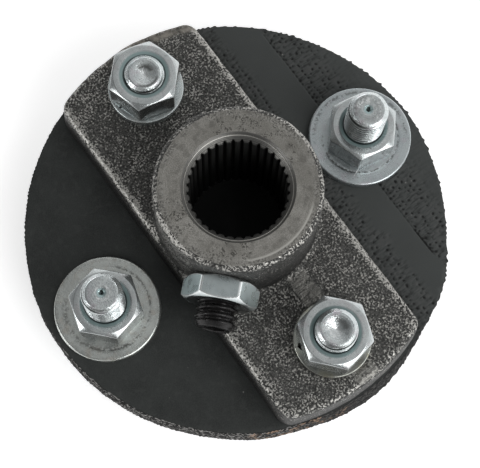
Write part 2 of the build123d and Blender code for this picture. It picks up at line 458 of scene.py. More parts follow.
def hex_angles(turn):
    """Angles around a full turn, close together at the corners of a hexagon."""
    share = np.arange(HEX_SEGMENTS) / HEX_SEGMENTS * 6
    crowded = share - HEX_CORNER_CROWDING * np.sin(2 * math.pi * share)
    return turn + crowded * math.pi / 3


def hex_radius(angles, across_flats, turn):
    """Distance from the axis to the side of a hexagon whose corners are a little worn."""
    total = np.zeros_like(angles)
    for side in range(6):
        normal = turn + math.radians(30 + 60 * side)
        total += np.maximum(np.cos(angles - normal), 0) ** HEX_SHARPNESS
    return across_flats / 2 / total ** (1 / HEX_SHARPNESS)


def hex_end(angles, hexagon, across_flats, height, into):
    """Rings from a hexagon's end face over its chamfer to its sides. into is +1 or -1 along Z."""
    face = HEX_FACE_SHARE * across_flats / 2
    spread = hexagon - face
    soft = np.minimum(EDGE_SOFTNESS, 0.35 * spread)
    drop = HEX_CHAMFER_SLOPE * spread
    profile = [
        (face - EDGE_SOFTNESS, 0),
        (face, 0.2 * EDGE_SOFTNESS * HEX_CHAMFER_SLOPE),
        (face + soft, soft * HEX_CHAMFER_SLOPE),
        (hexagon - soft, drop - soft * HEX_CHAMFER_SLOPE),
        (hexagon - 0.3 * soft, drop + 0.1 * soft),
        (hexagon, drop + soft),
        (hexagon, drop + 3 * soft),
    ]
    return circles(angles, [(radius, height + into * depth) for radius, depth in profile])


def thread_radius(angles, height, radius, pitch, depth):
    """Distance from the axis to a worn helical thread at one height."""
    phase = height / pitch - angles / (2 * math.pi)
    turn = np.abs(2 * (phase - np.floor(phase)) - 1)
    return radius - depth * smooth_step(turn, 0.12, 0.95)


def threaded_rod(angles, low, high, pitch, depth, end_radius, chamfer_height, run_in):
    """Rings of a thread that fades in over run_in and ends in a chamfer at its high end."""
    rings = []
    for height in np.arange(low, high, pitch / THREAD_ROWS):
        fade = smooth_step((height - low) / run_in, 0, 1)
        run_out = 0.7 + 0.3 * smooth_step(high - height, 0.5 * pitch, 2.5 * pitch)
        thread = thread_radius(angles, height, BOLT_RADIUS, pitch, depth * fade * run_out)
        cone = end_radius + (high - height) / chamfer_height * (BOLT_RADIUS - end_radius)
        rings.append(circle(angles, np.minimum(thread, cone), height))
    rings.append(circle(angles, end_radius, high - 0.02))
    return rings


def end_face(angles, height, hollow):
    """Rings over a bolt's end, with turning marks, down into the hollow that the end has."""
    rings = []
    for share in np.linspace(0.985, 0.03, END_RINGS):
        reach = share * BOLT_END_RADIUS
        marks = TURNING_MARK_DEPTH * math.sin(2 * math.pi * reach / TURNING_MARK_PITCH)
        edge = END_EDGE_DROP * share ** 30
        rings.append(circle(angles, reach, height - hollow(reach) - edge + marks))
    return rings


def dish(reach):
    """Depth of the conical hollow in a bar bolt's end, with a soft rim and a soft middle."""
    share = min(1.0, math.hypot(reach / DISH_RADIUS, 0.09))
    return DISH_DEPTH * (1 - share) + 0.06 * bell(share - 1, 0.1)


def centre_mark(reach):
    """Depth of the punched centre in a stud's end: a shallow cone with a small deep core."""
    cone = max(0.0, 1 - reach / MARK_RADIUS)
    core = max(0.0, 1 - reach / (0.6 * MARK_RADIUS))
    return MARK_DEPTH * (0.45 * cone + 0.55 * core) + 0.03 * bell(reach - MARK_RADIUS, 0.25)


def bolt_mesh(node, hollow):
    """A hex bolt: head, plain shank, thread and marked end."""
    low, high = node_box(node)
    bottom = low[2]
    top = high[2]
    angles = hex_angles(HEAD_TURN)
    hexagon = hex_radius(angles, HEX_WIDTH, HEAD_TURN)
    rings = circles(angles, [(share * HEX_WIDTH / 2, bottom) for share in (0.2, 0.5, 0.75)])
    rings += hex_end(angles, hexagon, HEX_WIDTH, bottom, 1)
    rings += circles(angles, [
        (hexagon, HEAD_SEAT - EDGE_SOFTNESS),
        (hexagon - EDGE_SOFTNESS, HEAD_SEAT),
        (BOLT_RADIUS + BOLT_NECK, HEAD_SEAT),
        (BOLT_RADIUS, HEAD_SEAT + BOLT_NECK),
    ])
    rings += threaded_rod(
        angles, BOLT_THREAD_START, top, BOLT_PITCH, BOLT_THREAD_DEPTH,
        BOLT_END_RADIUS, BOLT_CHAMFER_HEIGHT, BOLT_PITCH,
    )
    rings += end_face(angles, top, hollow)
    mesh = skin_mesh(node, rings, (0, 0, bottom), (0, 0, top - hollow(0.0)))
    shade_grooves(mesh, top, hollow is centre_mark)
    return mesh


def shade_grooves(mesh, top, marked):
    """Store how deep each point of a bolt lies in its thread or centre mark."""
    places = point_places(mesh)
    reach = reach_of(places)
    cone = BOLT_END_RADIUS + (top - places[:, 2]) / BOLT_CHAMFER_HEIGHT * (BOLT_RADIUS - BOLT_END_RADIUS)
    depth = (np.minimum(BOLT_RADIUS, cone) - reach) / BOLT_THREAD_DEPTH
    shank = places[:, 2] > HEAD_SEAT
    on_thread = (reach > 0.995 * BOLT_END_RADIUS) & shank & (reach < BOLT_RADIUS + 0.01)
    groove = np.where(on_thread, depth, 0)
    hollow = np.zeros(len(places))
    if marked:
        on_end = (reach <= 0.995 * BOLT_END_RADIUS) & shank
        core = reach_of(places[:, :2] - MARK_CORE)
        core_share = smooth_step(-core, -0.6 * MARK_RADIUS, -0.25 * MARK_RADIUS)
        groove = np.where(on_end, 0.5 * core_share, groove)
        hollow = np.where(on_end, smooth_step(-reach, -1.3 * MARK_RADIUS, -0.8 * MARK_RADIUS), 0)
    add_layer(mesh, "groove", groove)
    add_layer(mesh, "hollow", hollow)


def nut_mesh(name, across_flats, low, high, turn, mouth, pitch, depth):
    """A threaded hex nut between two heights."""
    angles = hex_angles(turn)
    hexagon = hex_radius(angles, across_flats, turn)
    rings = [circle(angles, hexagon, (low + high) / 2)]
    rings += hex_end(angles, hexagon, across_flats, high, -1)[::-1]
    rings += circles(angles, [(mouth + 0.45, high), (mouth + 0.1, high), (mouth, high - 0.04)])
    for height in np.arange(high, low, -pitch / THREAD_ROWS):
        thread = thread_radius(angles, height, BOLT_RADIUS + THREAD_GAP, pitch, depth)
        cone = mouth - min(high - height, height - low) / COUNTERSINK_SLOPE
        rings.append(circle(angles, np.maximum(thread, cone), height))
    rings += circles(angles, [(mouth + 0.1, low), (mouth + 0.45, low)])
    rings += hex_end(angles, hexagon, across_flats, low, 1)
    mesh = skin_mesh(name, rings)
    shade_flanks(mesh, across_flats, turn, low, high)
    return mesh


def shade_flanks(mesh, across_flats, turn, low, high):
    """Store which points of a nut lie on its upright sides and which on their edges."""
    places = point_places(mesh)
    angles = facing_of(places)
    hexagon = hex_radius(angles, across_flats, turn)
    drop = HEX_CHAMFER_SLOPE * (hexagon - HEX_FACE_SHARE * across_flats / 2)
    from_end = np.minimum(high - places[:, 2], places[:, 2] - low)
    outside = smooth_step(reach_of(places) - hexagon, -0.2, -0.08)
    add_layer(mesh, "flank", outside * smooth_step(from_end - drop, 0, 0.1))
    corner = smooth_step(np.cos(6 * (angles - turn)), 0.96, 0.99)
    add_layer(mesh, "crest", outside * np.maximum(corner, bell(from_end - drop, 0.13)))


def bolt_nut_mesh(node, turn):
    """A hex nut on one of the bolts."""
    low, high = node_box(node)
    return nut_mesh(
        node, HEX_WIDTH, low[2], high[2], math.radians(turn),
        COUNTERSINK_RADIUS, BOLT_PITCH, BOLT_THREAD_DEPTH,
    )


# Washers

def flat_washer_profile(outer, bottom, top, groove_radius):
    """Radius and height along a stamped washer's section, from its hole over its top to its underside."""
    hole = WASHER_HOLE_RADIUS
    profile = [(hole, bottom + 0.15), (hole, top - 0.2), (hole + 0.06, top - 0.05), (hole + 0.25, top)]
    radii = [5.5, 6.5, *(groove_radius + np.linspace(-0.6, 0.6, 9)), 8.9, 9.4, outer - 0.55]
    profile += [(radius, top) for radius in radii]
    for turn in np.linspace(0, math.pi / 2, 7):
        inward = WASHER_EDGE_ROUND * (1 - math.sin(turn))
        drop = WASHER_EDGE_ROUND * (1 - math.cos(turn))
        profile.append((outer - inward, top - drop))
    profile += [(outer, bottom + 0.2), (outer - 0.06, bottom + 0.05), (outer - 0.2, bottom)]
    return profile + [(WASHER_FLAT_UNTIL, bottom), (hole + 0.1, bottom)]


def flat_washer_mesh(node, groove=PLAIN_WASHER):
    """A stamped washer: one soft outer edge, a hole with a small roll and a pressed ring mark."""
    low, high = node_box(node)
    outer = (high[0] - low[0]) / 2
    bottom = low[2]
    top = high[2]
    groove_radius, groove_depth, groove_angle, groove_from = groove
    angles = even_angles(FLAT_WASHER_SEGMENTS)
    warp = WASHER_WARP * np.sin(2 * angles + 0.7)
    facing = np.cos(angles - math.radians(groove_angle))
    mark = groove_depth * smooth_step(facing, groove_from, groove_from + 0.3)
    rings = []
    for radius, height in flat_washer_profile(outer, bottom, top, groove_radius):
        ring = circle(angles, radius, height)
        if height > top - 0.01:
            ring[:, 2] -= mark * bell(radius - groove_radius, 0.16)
        if height > bottom + 0.5:
            ring[:, 2] += warp * smooth_step(radius, WASHER_FLAT_UNTIL, outer)
        ring[:, 2] = np.minimum(ring[:, 2], top)
        rings.append(ring)
    return skin_mesh(node, rings)


def lock_washer_section(outer, bottom, top):
    """Radius and height along a spring washer's square section with soft corners."""
    inner = LOCK_WASHER_HOLE_RADIUS
    soft = LOCK_WASHER_EDGE_ROUND
    corners = [
        (outer, bottom, 1, -1, -90, []),
        (outer, top, 1, 1, 0, LOCK_WASHER_RADII),
        (inner, top, -1, 1, 90, []),
        (inner, bottom, -1, -1, 180, LOCK_WASHER_RADII[::-1]),
    ]
    section = []
    for radius, height, side, up, start, radii_after in corners:
        for step in (0, 30, 60, 90):
            turn = math.radians(start + step)
            section.append((
                radius - side * soft + soft * math.cos(turn),
                height - up * soft + soft * math.sin(turn),
            ))
        section += [(place, height) for place in radii_after]
    return np.array(section).T


def lock_washer_mesh(node, turn, split):
    """A split spring washer whose ends touch at the rim and leave a slanted gap further in."""
    low, high = node_box(node)
    outer = max(high[0] - low[0], high[1] - low[1]) / 2
    radii, heights = lock_washer_section(outer, low[2], high[2])
    closed_rim = smooth_step(radii, LOCK_WASHER_SPLIT_RIM - 0.5, LOCK_WASHER_SPLIT_RIM)
    half_gap = (split * (1 - closed_rim) + LOCK_WASHER_RIM_GAP) / 2 / math.cos(LOCK_WASHER_SLANT)
    lean = -(heights - (low[2] + high[2]) / 2) * math.tan(LOCK_WASHER_SLANT)
    start = np.arcsin((lean + half_gap) / radii)
    end = 2 * math.pi + np.arcsin((lean - half_gap) / radii)
    rings = []
    for share in np.linspace(0, 1, LOCK_WASHER_SEGMENTS + 1):
        rings.append(circle(start + (end - start) * share + math.radians(turn), radii, heights))
    return skin_mesh(node, rings, rings[0].mean(axis=0), rings[-1].mean(axis=0))


# Set screw

def screw_matrix(unit=MM):
    """The set screw's place: local Z runs out along the screw, local X points down."""
    low, high = node_box("set_screw_jam_nut")
    out = Vector((math.cos(SCREW_ANGLE), math.sin(SCREW_ANGLE), 0))
    down = Vector((0, 0, -1))
    turn = Matrix((down, out.cross(down), out)).transposed().to_4x4()
    return Matrix.Translation((0, 0, (low[2] + high[2]) / 2 * unit)) @ turn


def set_screw_mesh():
    """The headless screw with its coarse thread and hex socket."""
    angles = hex_angles(0.0)
    rings = circles(angles, [
        (1.5, SCREW_INNER_END),
        (SCREW_END_RADIUS - 0.1, SCREW_INNER_END),
        (SCREW_END_RADIUS, SCREW_INNER_END + 0.05),
    ])
    rings += threaded_rod(
        angles, SCREW_INNER_END + SCREW_POINT, SCREW_OUTER_END, SCREW_PITCH, SCREW_THREAD_DEPTH,
        SCREW_END_RADIUS, SCREW_CHAMFER_HEIGHT, 0.3,
    )
    socket = hex_radius(angles, SOCKET_ACROSS_FLATS, 0.0)
    socket_bottom = SCREW_OUTER_END - SOCKET_DEPTH
    rings += circles(angles, [
        (SCREW_END_RADIUS - 0.12, SCREW_OUTER_END),
        (socket + 0.15, SCREW_OUTER_END),
        (socket, SCREW_OUTER_END - 0.15),
        (socket, socket_bottom),
        (0.6 * socket, socket_bottom - 0.4),
    ])
    return skin_mesh("set_screw", rings, (0, 0, SCREW_INNER_END), (0, 0, socket_bottom - 0.9))


def jam_nut_mesh():
    """The thin nut on the set screw."""
    low, high = node_box("set_screw_jam_nut")
    return nut_mesh(
        "set_screw_jam_nut", high[2] - low[2], JAM_NUT_SEAT, JAM_NUT_SEAT + JAM_NUT_THICKNESS,
        JAM_NUT_TURN, JAM_NUT_MOUTH_RADIUS, SCREW_PITCH, SCREW_THREAD_DEPTH,
    )


# Hub and bar, cast first and cut afterwards

def plug(radius, low, high, matrix=Matrix()):
    """A closed cylinder along Z, as points and faces."""
    angles = even_angles(64)
    rings = circles(angles, [(radius, low), (radius, high)])
    points, faces = skin(rings, first_end=(0, 0, low), last_end=(0, 0, high))
    return np.array([matrix @ Vector(p) for p in points]), faces


def bolt_hole_plugs(radius, low, high):
    """A closed cylinder on each bolt that goes through the bar."""
    axes = [node_axis(name) for name in BOLT_NODES if name.startswith("bar")]
    return [plug(radius, low, high, Matrix.Translation((x, y, 0))) for x, y in axes]


def slab(low, high):
    """A closed box between two corners, as points and faces."""
    points = [(x, y, z) for x in (low[0], high[0]) for y in (low[1], high[1]) for z in (low[2], high[2])]
    faces = [(0, 1, 3, 2), (4, 6, 7, 5), (0, 4, 5, 1), (2, 3, 7, 6), (0, 2, 6, 4), (1, 5, 7, 3)]
    return np.array(points, float), faces


def spline_section():
    """Angles and radii of the splined bore's outline, one tooth after the other."""
    pitch = 2 * math.pi / SPLINE_TEETH
    root = SPLINE_ROOT_FLAT / 2 / SPLINE_MAJOR_RADIUS
    edge = SPLINE_SPACE_WIDTH / 2 / BORE_RADIUS
    flank = 0.55 * edge + 0.45 * root
    flank_radius = (BORE_RADIUS + SPLINE_MAJOR_RADIUS) / 2 + 0.02
    tooth = np.array([
        (-edge, BORE_RADIUS + 0.03),
        (-flank, flank_radius),
        (-root, SPLINE_MAJOR_RADIUS),
        (root, SPLINE_MAJOR_RADIUS),
        (flank, flank_radius),
        (edge, BORE_RADIUS + 0.03),
        (edge + SPLINE_CORNER, BORE_RADIUS),
        (pitch / 2, BORE_RADIUS),
        (pitch - edge - SPLINE_CORNER, BORE_RADIUS),
    ])
    turns = np.arange(SPLINE_TEETH)[:, None] * pitch
    return (turns + tooth[:, 0]).ravel(), np.tile(tooth[:, 1], SPLINE_TEETH)


def bore_cutter():
    """The space of the bore: splines, lead-in cone and counterbore."""
    angles, radii = spline_section()
    bottom = -1.0
    cone_top = HUB_TOP - COUNTERBORE_DEPTH
    cone_bottom = cone_top - (LEAD_IN_RADIUS - BORE_RADIUS)
    rings = [circle(angles, radii, bottom)]
    for height in np.linspace(cone_bottom - 0.05, cone_top, 15):
        rings.append(circle(angles, np.maximum(radii, LEAD_IN_RADIUS - (cone_top - height)), height))
    rings += circles(angles, [(LEAD_IN_RADIUS + out, cone_top + up) for out, up in COUNTERBORE_LIP])
    rings.append(circle(angles, LEAD_IN_RADIUS + COUNTERBORE_LIP[-1][0], HUB_TOP + 3))
    return skin(rings, first_end=(0, 0, bottom), last_end=(0, 0, HUB_TOP + 3))


def seat_cutter():
    """The space in front of the flat that the jam nut is seated on."""
    matrix = screw_matrix(unit=1.0)
    down_to_bar = matrix.translation.z - BAR_TOP
    half = SEAT_HALF_WIDTH
    points, faces = slab((-half, -half, JAM_NUT_SEAT), (down_to_bar, half, SEAT_OUTER_END))
    return np.array([matrix @ Vector(p) for p in points]), faces


def ground_share(places):
    """Where the bar's flash was ground away: beside the hub and at the right end."""
    x, y, z = places.T
    ragged = 0.35 * roughness_of(places, 0.8, 41.0)
    near_rise, near_fall = GROUND_NEAR_X
    near = smooth_step(x, *near_rise) * (1 - smooth_step(x + ragged, *near_fall))
    near *= band(y + ragged, *GROUND_NEAR_Y)
    end = smooth_step(x + ragged, *GROUND_END_X) * band(y + ragged, *GROUND_END_Y)
    on_face = smooth_step(z, BAR_TOP - 0.5, BAR_TOP - 0.2) * (z < BAR_TOP + FLASH_LAYER)
    return np.clip(near + end, 0, 1) * on_face


def cast_surface(mesh):
    """Move each point of the blank along its normal, as sand and trimming leave a casting."""
    places = point_places(mesh)
    normals = point_normals(mesh)
    reach = reach_of(places)
    lumps = CAST_LUMP * roughness_of(places, 3.2, 1.0) + CAST_GRAIN * roughness_of(places, 0.9, 5.0)
    free = band(places[:, 2], (0.15, 0.8), (HUB_TOP - 0.05, HUB_TOP + 0.2))
    on_top = (places[:, 2] > BAR_TOP - 0.01) & (places[:, 2] < BAR_TOP + FLASH_LAYER)
    trimmed = on_top & (places[:, 0] < FLASH_TRIMMED_UNTIL) & (reach > HUB_FOOT_RADIUS)
    places[trimmed, 2] = BAR_TOP + 0.2 * (places[trimmed, 2] - BAR_TOP)
    ground = ground_share(places)
    facing = np.degrees(facing_of(places)) % 360
    filed = smooth_step(reach, *LEFT_END_REACH) * smooth_step(-places[:, 0], *LEFT_END)
    filed *= 1 - bell(facing - LEFT_END_HIGH_SPOT, 5)
    places[:, :2] *= (1 - LEFT_END_FILED / BAR_HALF_LENGTH * filed)[:, None]
    places += normals * (lumps * free * (1 - ground))[:, None]
    flat_height = np.minimum(places[:, 2], BAR_TOP + GROUND_HEIGHT)
    places[:, 2] += (flat_height - places[:, 2]) * ground
    move_points(mesh, places)


def worked_mesh(piece):
    """The mesh that a piece's modifiers make. The modifiers are taken off."""
    bpy.context.view_layer.update()
    seen = piece.evaluated_get(bpy.context.evaluated_depsgraph_get())
    mesh = bpy.data.meshes.new_from_object(seen)
    piece.modifiers.clear()
    return mesh


def cut(piece, cutters):
    """Take each closed cutter out of a piece and return the mesh that is left."""
    made = []
    for index, (points, faces) in enumerate(cutters):
        cutter = add_object(f"cutter_{index}", new_mesh(f"cutter_{index}", points, faces))
        cut_here = piece.modifiers.new(f"cut_{index}", "BOOLEAN")
        cut_here.operation = "DIFFERENCE"
        cut_here.solver = "MANIFOLD"
        cut_here.object = cutter
        made.append(cutter)
    mesh = worked_mesh(piece)
    for cutter in made:
        bpy.data.meshes.remove(cutter.data)
    return mesh


def stand_out(mesh, rounds):
    """How far each point stands out of its neighbourhood, in millimetres."""
    places = point_places(mesh)
    edges = np.empty(len(mesh.edges) * 2, int)
    mesh.edges.foreach_get("vertices", edges)
    edges = edges.reshape(-1, 2)
    length = np.linalg.norm(places[edges[:, 0]] - places[edges[:, 1]], axis=1)
    edges = edges[length < LONGEST_SKIN_EDGE]
    ends = np.concatenate([edges[:, 0], edges[:, 1]])
    others = np.concatenate([edges[:, 1], edges[:, 0]])
    neighbours = np.bincount(ends, minlength=len(places))
    smooth = places.copy()
    for _ in range(rounds):
        for axis in range(3):
            total = np.bincount(ends, weights=smooth[others, axis], minlength=len(places))
            smooth[:, axis] = np.where(neighbours > 0, total / np.maximum(neighbours, 1), smooth[:, axis])
    return np.einsum("ij,ij->i", places - smooth, point_normals(mesh))


def add_wear(mesh):
    """Store where the casting is worn, where its edges take a painted highlight, and where it is ground or
    scorched.
    """
    places = point_places(mesh)
    upward = point_normals(mesh)[:, 2]
    angle = np.degrees(facing_of(places)) % 360
    at_end = smooth_step(reach_of(places), *SCORCH_REACH) * smooth_step(places[:, 2], *SCORCH_HEIGHT)
    add_layer(mesh, "edge_wear_and_highlight", smooth_step(stand_out(mesh, 4), 0.03, 0.13) * smooth_step(upward, 0.1, 0.45))
    add_layer(mesh, "rub", smooth_step(stand_out(mesh, 24), 0.05, 0.45) * smooth_step(upward, 0.3, 0.7))
    add_layer(mesh, "wall", 1 - smooth_step(upward, 0.25, 0.6))
    add_layer(mesh, "ground", ground_share(places))
    add_layer(mesh, "scorch", at_end * band(angle, *SCORCH_ARC))


def casting_blank():
    """The CAD node with its bore and holes filled, as one closed skin of small even faces."""
    fillers = [
        plug(FILLED_BORE_RADIUS, FILL_BOTTOM, HUB_TOP - 0.6),
        plug(TURNED_FACE_RADIUS, HUB_TOP - 5, HUB_TOP + 0.5),
        plug(FILLED_HOLE_RADIUS, 9.5, JAM_NUT_SEAT - 0.2, screw_matrix(unit=1.0)),
    ]
    fillers += bolt_hole_plugs(FILLED_HOLE_RADIUS, FILL_BOTTOM, BAR_TOP - 0.2)
    shape = bmesh.new()
    shape.from_mesh(nodes["hub_flange"].data)
    bmesh.ops.remove_doubles(shape, verts=shape.verts, dist=0.001 * MM)
    for points, faces in fillers:
        added = [shape.verts.new(p * MM) for p in points]
        for face in faces:
            shape.faces.new([added[i] for i in face])
    bmesh.ops.recalc_face_normals(shape, faces=shape.faces)
    blank = bpy.data.meshes.new("casting_blank")
    shape.to_mesh(blank)
    shape.free()
    piece = add_object("casting_work", blank)
    remesh = piece.modifiers.new("remesh", "REMESH")
    remesh.mode = "VOXEL"
    remesh.voxel_size = VOXEL * MM
    piece.data = worked_mesh(piece)
    return piece


def casting_mesh():
    """The hub and bar: a rough blank whose face, bore and holes are cut clean."""
    piece = casting_blank()
    cast_surface(piece.data)
    cutters = [
        slab((-20, -20, HUB_TOP), (20, 20, HUB_TOP + 6)),
        bore_cutter(),
        seat_cutter(),
        plug(BOLT_RADIUS + THREAD_GAP, 5, 22, screw_matrix(unit=1.0)),
    ]
    cutters += bolt_hole_plugs(HOLE_RADIUS, -1, BAR_TOP + 3)
    mesh = cut(piece, cutters)
    bpy.data.meshes.remove(piece.data)
    return mesh


def mark_machined(mesh):
    """Give the turned face and the bore their own materials and a crisp border."""
    face_height = HUB_TOP - 0.004
    mouth_radius = LEAD_IN_RADIUS + COUNTERBORE_LIP[-1][0] + 0.01
    shape = bmesh.new()
    shape.from_mesh(mesh)
    for face in shape.faces:
        centre = face.calc_center_median() / MM
        face.smooth = True
        if math.hypot(centre.x, centre.y) < mouth_radius and 0.02 < centre.z < face_height:
            face.material_index = 2
        elif centre.z > face_height:
            face.material_index = 1
            face.smooth = False
        else:
            face.material_index = 0
    for edge in shape.edges:
        if len(edge.link_faces) == 2:
            first, second = edge.link_faces
            if first.material_index != second.material_index:
                edge.smooth = False
            elif first.normal.angle(second.normal, 0) > math.radians(40):
                edge.smooth = False
    shape.to_mesh(mesh)
    shape.free()


# Disc

def disc_radius(angles, depth):
    """The disc's outline at a share of its depth: nearly round, with a few swellings."""
    outline = DISC_RADIUS + 0.14 * roughness_of(circle(angles, 1.0, 0.0), 0.45, 2.0)
    towards = np.cos(angles - NEAR_SIDE)
    outline -= TOP_EDGE_PULL * smooth_step(towards, 0.45, 0.75) * (1 - min(1.0, 2.5 * depth)) ** 2
    for centre, width, height, top_share in DISC_SWELLS:
        away = (np.degrees(angles) - centre + 180) % 360 - 180
        outline += height * (top_share + (1 - top_share) * depth) * bell(away, width)
    return outline


def edge_tufts(angles, seed):
    """Steps of cut yarn around the disc: coarse on its +Y side, fine on the other."""
    loop = circle(angles, DISC_RADIUS, DISC_RADIUS * seed)
    arc = angles * DISC_RADIUS
    warp = 1.1 * roughness_of(loop, 4.0, seed)
    coarse_step = (warp + seed - arc / COARSE_YARN_STEP) % 1.0
    coarse = np.where(coarse_step < 0.75, coarse_step / 0.75, (1 - coarse_step) / 0.25)
    fine = np.abs(np.sin(math.pi * (arc / FINE_YARN_STEP + warp + 2 * seed)))
    strength = np.clip(0.55 + 0.9 * roughness_of(loop, 1.9, seed + 3), 0.05, 1)
    coarse_side = smooth_step(np.sin(angles), -0.15, 0.3)
    return strength * (coarse_side * 0.36 * coarse + (1 - coarse_side) * 0.2 * fine)


def edge_rounding(height):
    """How far the disc's edge stands back at one height, for its rounded top and bottom."""
    corner = max(0.0, 1 + height / TOP_EDGE_ROUND)
    foot = max(0.0, 1 - (height - DISC_BOTTOM) / BOTTOM_EDGE_ROUND)
    top = TOP_EDGE_ROUND * (1 - math.sqrt(1 - corner ** 2))
    return top + BOTTOM_EDGE_ROUND * (1 - math.sqrt(1 - foot ** 2))


def disc_side(angles):
    """Rings down the disc's edge: each ply of cloth ends in its own row of yarn lumps."""
    plies = [edge_tufts(angles, 7.1 * index) for index in range(PLY_COUNT + 1)]
    plies[0] = 1.5 * plies[0]
    plies[1] = plies[0]
    inset = 0.2 + 0.09 * smooth_step(np.sin(angles), 0.3, 0.7)
    rings = [circle(angles, disc_radius(angles, 0) - TOP_EDGE_ROUND - 0.12, 0)]
    for height in np.linspace(0, DISC_BOTTOM, SIDE_ROWS)[1:-1]:
        place = height / DISC_BOTTOM * PLY_COUNT - 0.5
        ply = int(np.clip(math.floor(place), 0, PLY_COUNT - 1))
        share = float(smooth_step(place - ply, 0.3, 0.7))
        lumps = (1 - share) * plies[ply] + share * plies[ply + 1]
        seam = PLY_SEAM * (0.5 + 0.5 * math.cos(2 * math.pi * place))
        outline = disc_radius(angles, height / DISC_BOTTOM)
        ragged = 0.08 * roughness_of(circle(angles, outline, height), 0.6, 4.0)
        radius = outline - inset + lumps - seam - edge_rounding(height) + ragged
        rings.append(circle(angles, radius, height))
    rings.append(circle(angles, disc_radius(angles, 1) - BOTTOM_EDGE_ROUND - 0.12, DISC_BOTTOM))
    return rings


def fabric_mask(x, y):
    """Where the mould cloth printed the top face: beside the bar and beyond the cut line."""
    ragged = 1.3 * roughness_of(as_points(x, y), 3.0, 9.0)
    near = smooth_step(y, BAR_EDGE_Y, BAR_EDGE_Y + 0.6)
    near *= 1 - smooth_step(y + ragged - 0.04 * x, *CLOTH_BY_BAR_END)
    far = smooth_step(y, CUT_LINE_Y, CUT_LINE_Y + 0.5)
    far *= 1 - 0.75 * smooth_step(y + ragged, *CLOTH_OUTSIDE_FADE)
    return np.clip(near + far, 0, 1)


def fabric_dents(x, y):
    """Depth share of the small round dents that the cloth left, on a wandering staggered grid."""
    flat = as_points(x, y)
    x = x + 0.5 * roughness_of(flat, 2.2, 11.0)
    y = y + 0.5 * roughness_of(flat, 2.2, 13.0)
    row = np.round(y / FABRIC_ROW_Y)
    column = np.round(x / FABRIC_ROW_X - 0.5 * (row % 2))
    dx = x - (column + 0.5 * (row % 2)) * FABRIC_ROW_X
    dy = y - row * FABRIC_ROW_Y
    strength = np.clip(0.62 + 1.7 * roughness_of(as_points(column * 0.77, row * 0.91), 1.0, 17.0), 0, 1)
    return strength * np.exp(-(dx * dx + 1.4 * dy * dy) / DENT_RADIUS ** 2)


def cut_line(x, y):
    """How deep a point lies in the cut that bounds the smooth strip: a faint line with pits."""
    flat = as_points(x, 0.0)
    off_line = y - CUT_LINE_Y - 0.25 * roughness_of(flat, 9.0, 19.0)
    along = (x + 0.4 * roughness_of(flat, 1.7, 29.0)) / CUT_DOT_PITCH
    strength = np.clip(0.6 + 1.1 * roughness_of(flat, 1.3, 31.0), 0, 1)
    line = (0.35 + 0.5 * smooth_step(x, 20, 24)) * bell(off_line, 0.16)
    dots = bell(along - np.round(along), 0.27) * strength * bell(off_line - 0.12, 0.32)
    return np.clip(line + dots, 0, 1) * band(x, *CUT_LINE_ENDS)


def disc_points(angles, radii):
    """Points inside the disc's top face, close together where the cloth printed it."""
    chance = np.random.default_rng(7)
    wide = np.arange(-43, 43, COARSE_SPACING)
    grid = np.array([(x, y) for x in wide for y in wide])
    fine = np.arange(-43, 43, FINE_SPACING)
    fine_grid = np.array([(x, y) for x in fine for y in fine if y > BAR_EDGE_Y])
    fine_grid = fine_grid[fabric_mask(*fine_grid.T) > 0.05]
    fine_grid += chance.uniform(-0.04, 0.04, fine_grid.shape)
    grid = grid[fabric_mask(*grid.T) <= 0.05]
    grid += chance.uniform(-0.15, 0.15, grid.shape)
    across = CUT_LINE_Y + np.array([-0.45, -0.3, -0.15, 0, 0.15])
    line = np.array([(x, y) for x in np.arange(-32, 30, 0.25) for y in across])
    points = np.vstack([grid, fine_grid, line])
    limit = np.interp(facing_of(points) % (2 * math.pi), angles, radii)
    return points[reach_of(points) < limit - 0.4]


def flat_cap(outline, inside, holes, height):
    """Triangles over a flat face with round holes, from its outline and the points inside."""
    loops = [outline] + holes
    edges = []
    start = 0
    for loop in loops:
        edges += [(start + i, start + (i + 1) % len(loop)) for i in range(len(loop))]
        start += len(loop)
    points = np.vstack([loop[:, :2] for loop in loops] + [inside])
    made = delaunay_2d_cdt([Vector(p) for p in points], edges, [], 1, 1e-5)
    corners = np.array([tuple(p) for p in made[0]])
    centres = [hole[:, :2].mean(axis=0) for hole in holes]
    faces = []
    for face in made[2]:
        middle = corners[list(face)].mean(axis=0)
        if all(np.linalg.norm(middle - centre) > 0.99 * HOLE_RADIUS for centre in centres):
            faces.append(tuple(face))
    return as_points(corners[:, 0], corners[:, 1], height), faces


def print_cloth(mesh):
    """Press the cloth's dents and the cut line into the disc's flat top, and store where they are."""
    places = point_places(mesh)
    on_top = places[:, 2] > -0.001
    x, y = places[on_top, 0], places[on_top, 1]
    mask = fabric_mask(x, y)
    dents = mask * fabric_dents(x, y)
    line = cut_line(x, y)
    waves = 0.03 * roughness_of(as_points(x, y), 8.0, 23.0) - 0.03
    places[on_top, 2] += waves - DENT_DEPTH * dents - 0.05 * mask - CUT_DEPTH * line
    move_points(mesh, places)
    printed = np.zeros(len(places))
    printed[on_top] = dents + line
    cloth = np.zeros(len(places))
    cloth[on_top] = mask
    add_layer(mesh, "dent", printed)
    add_layer(mesh, "cloth", cloth)
    add_layer(mesh, "side", ~on_top & (reach_of(places) > 40))


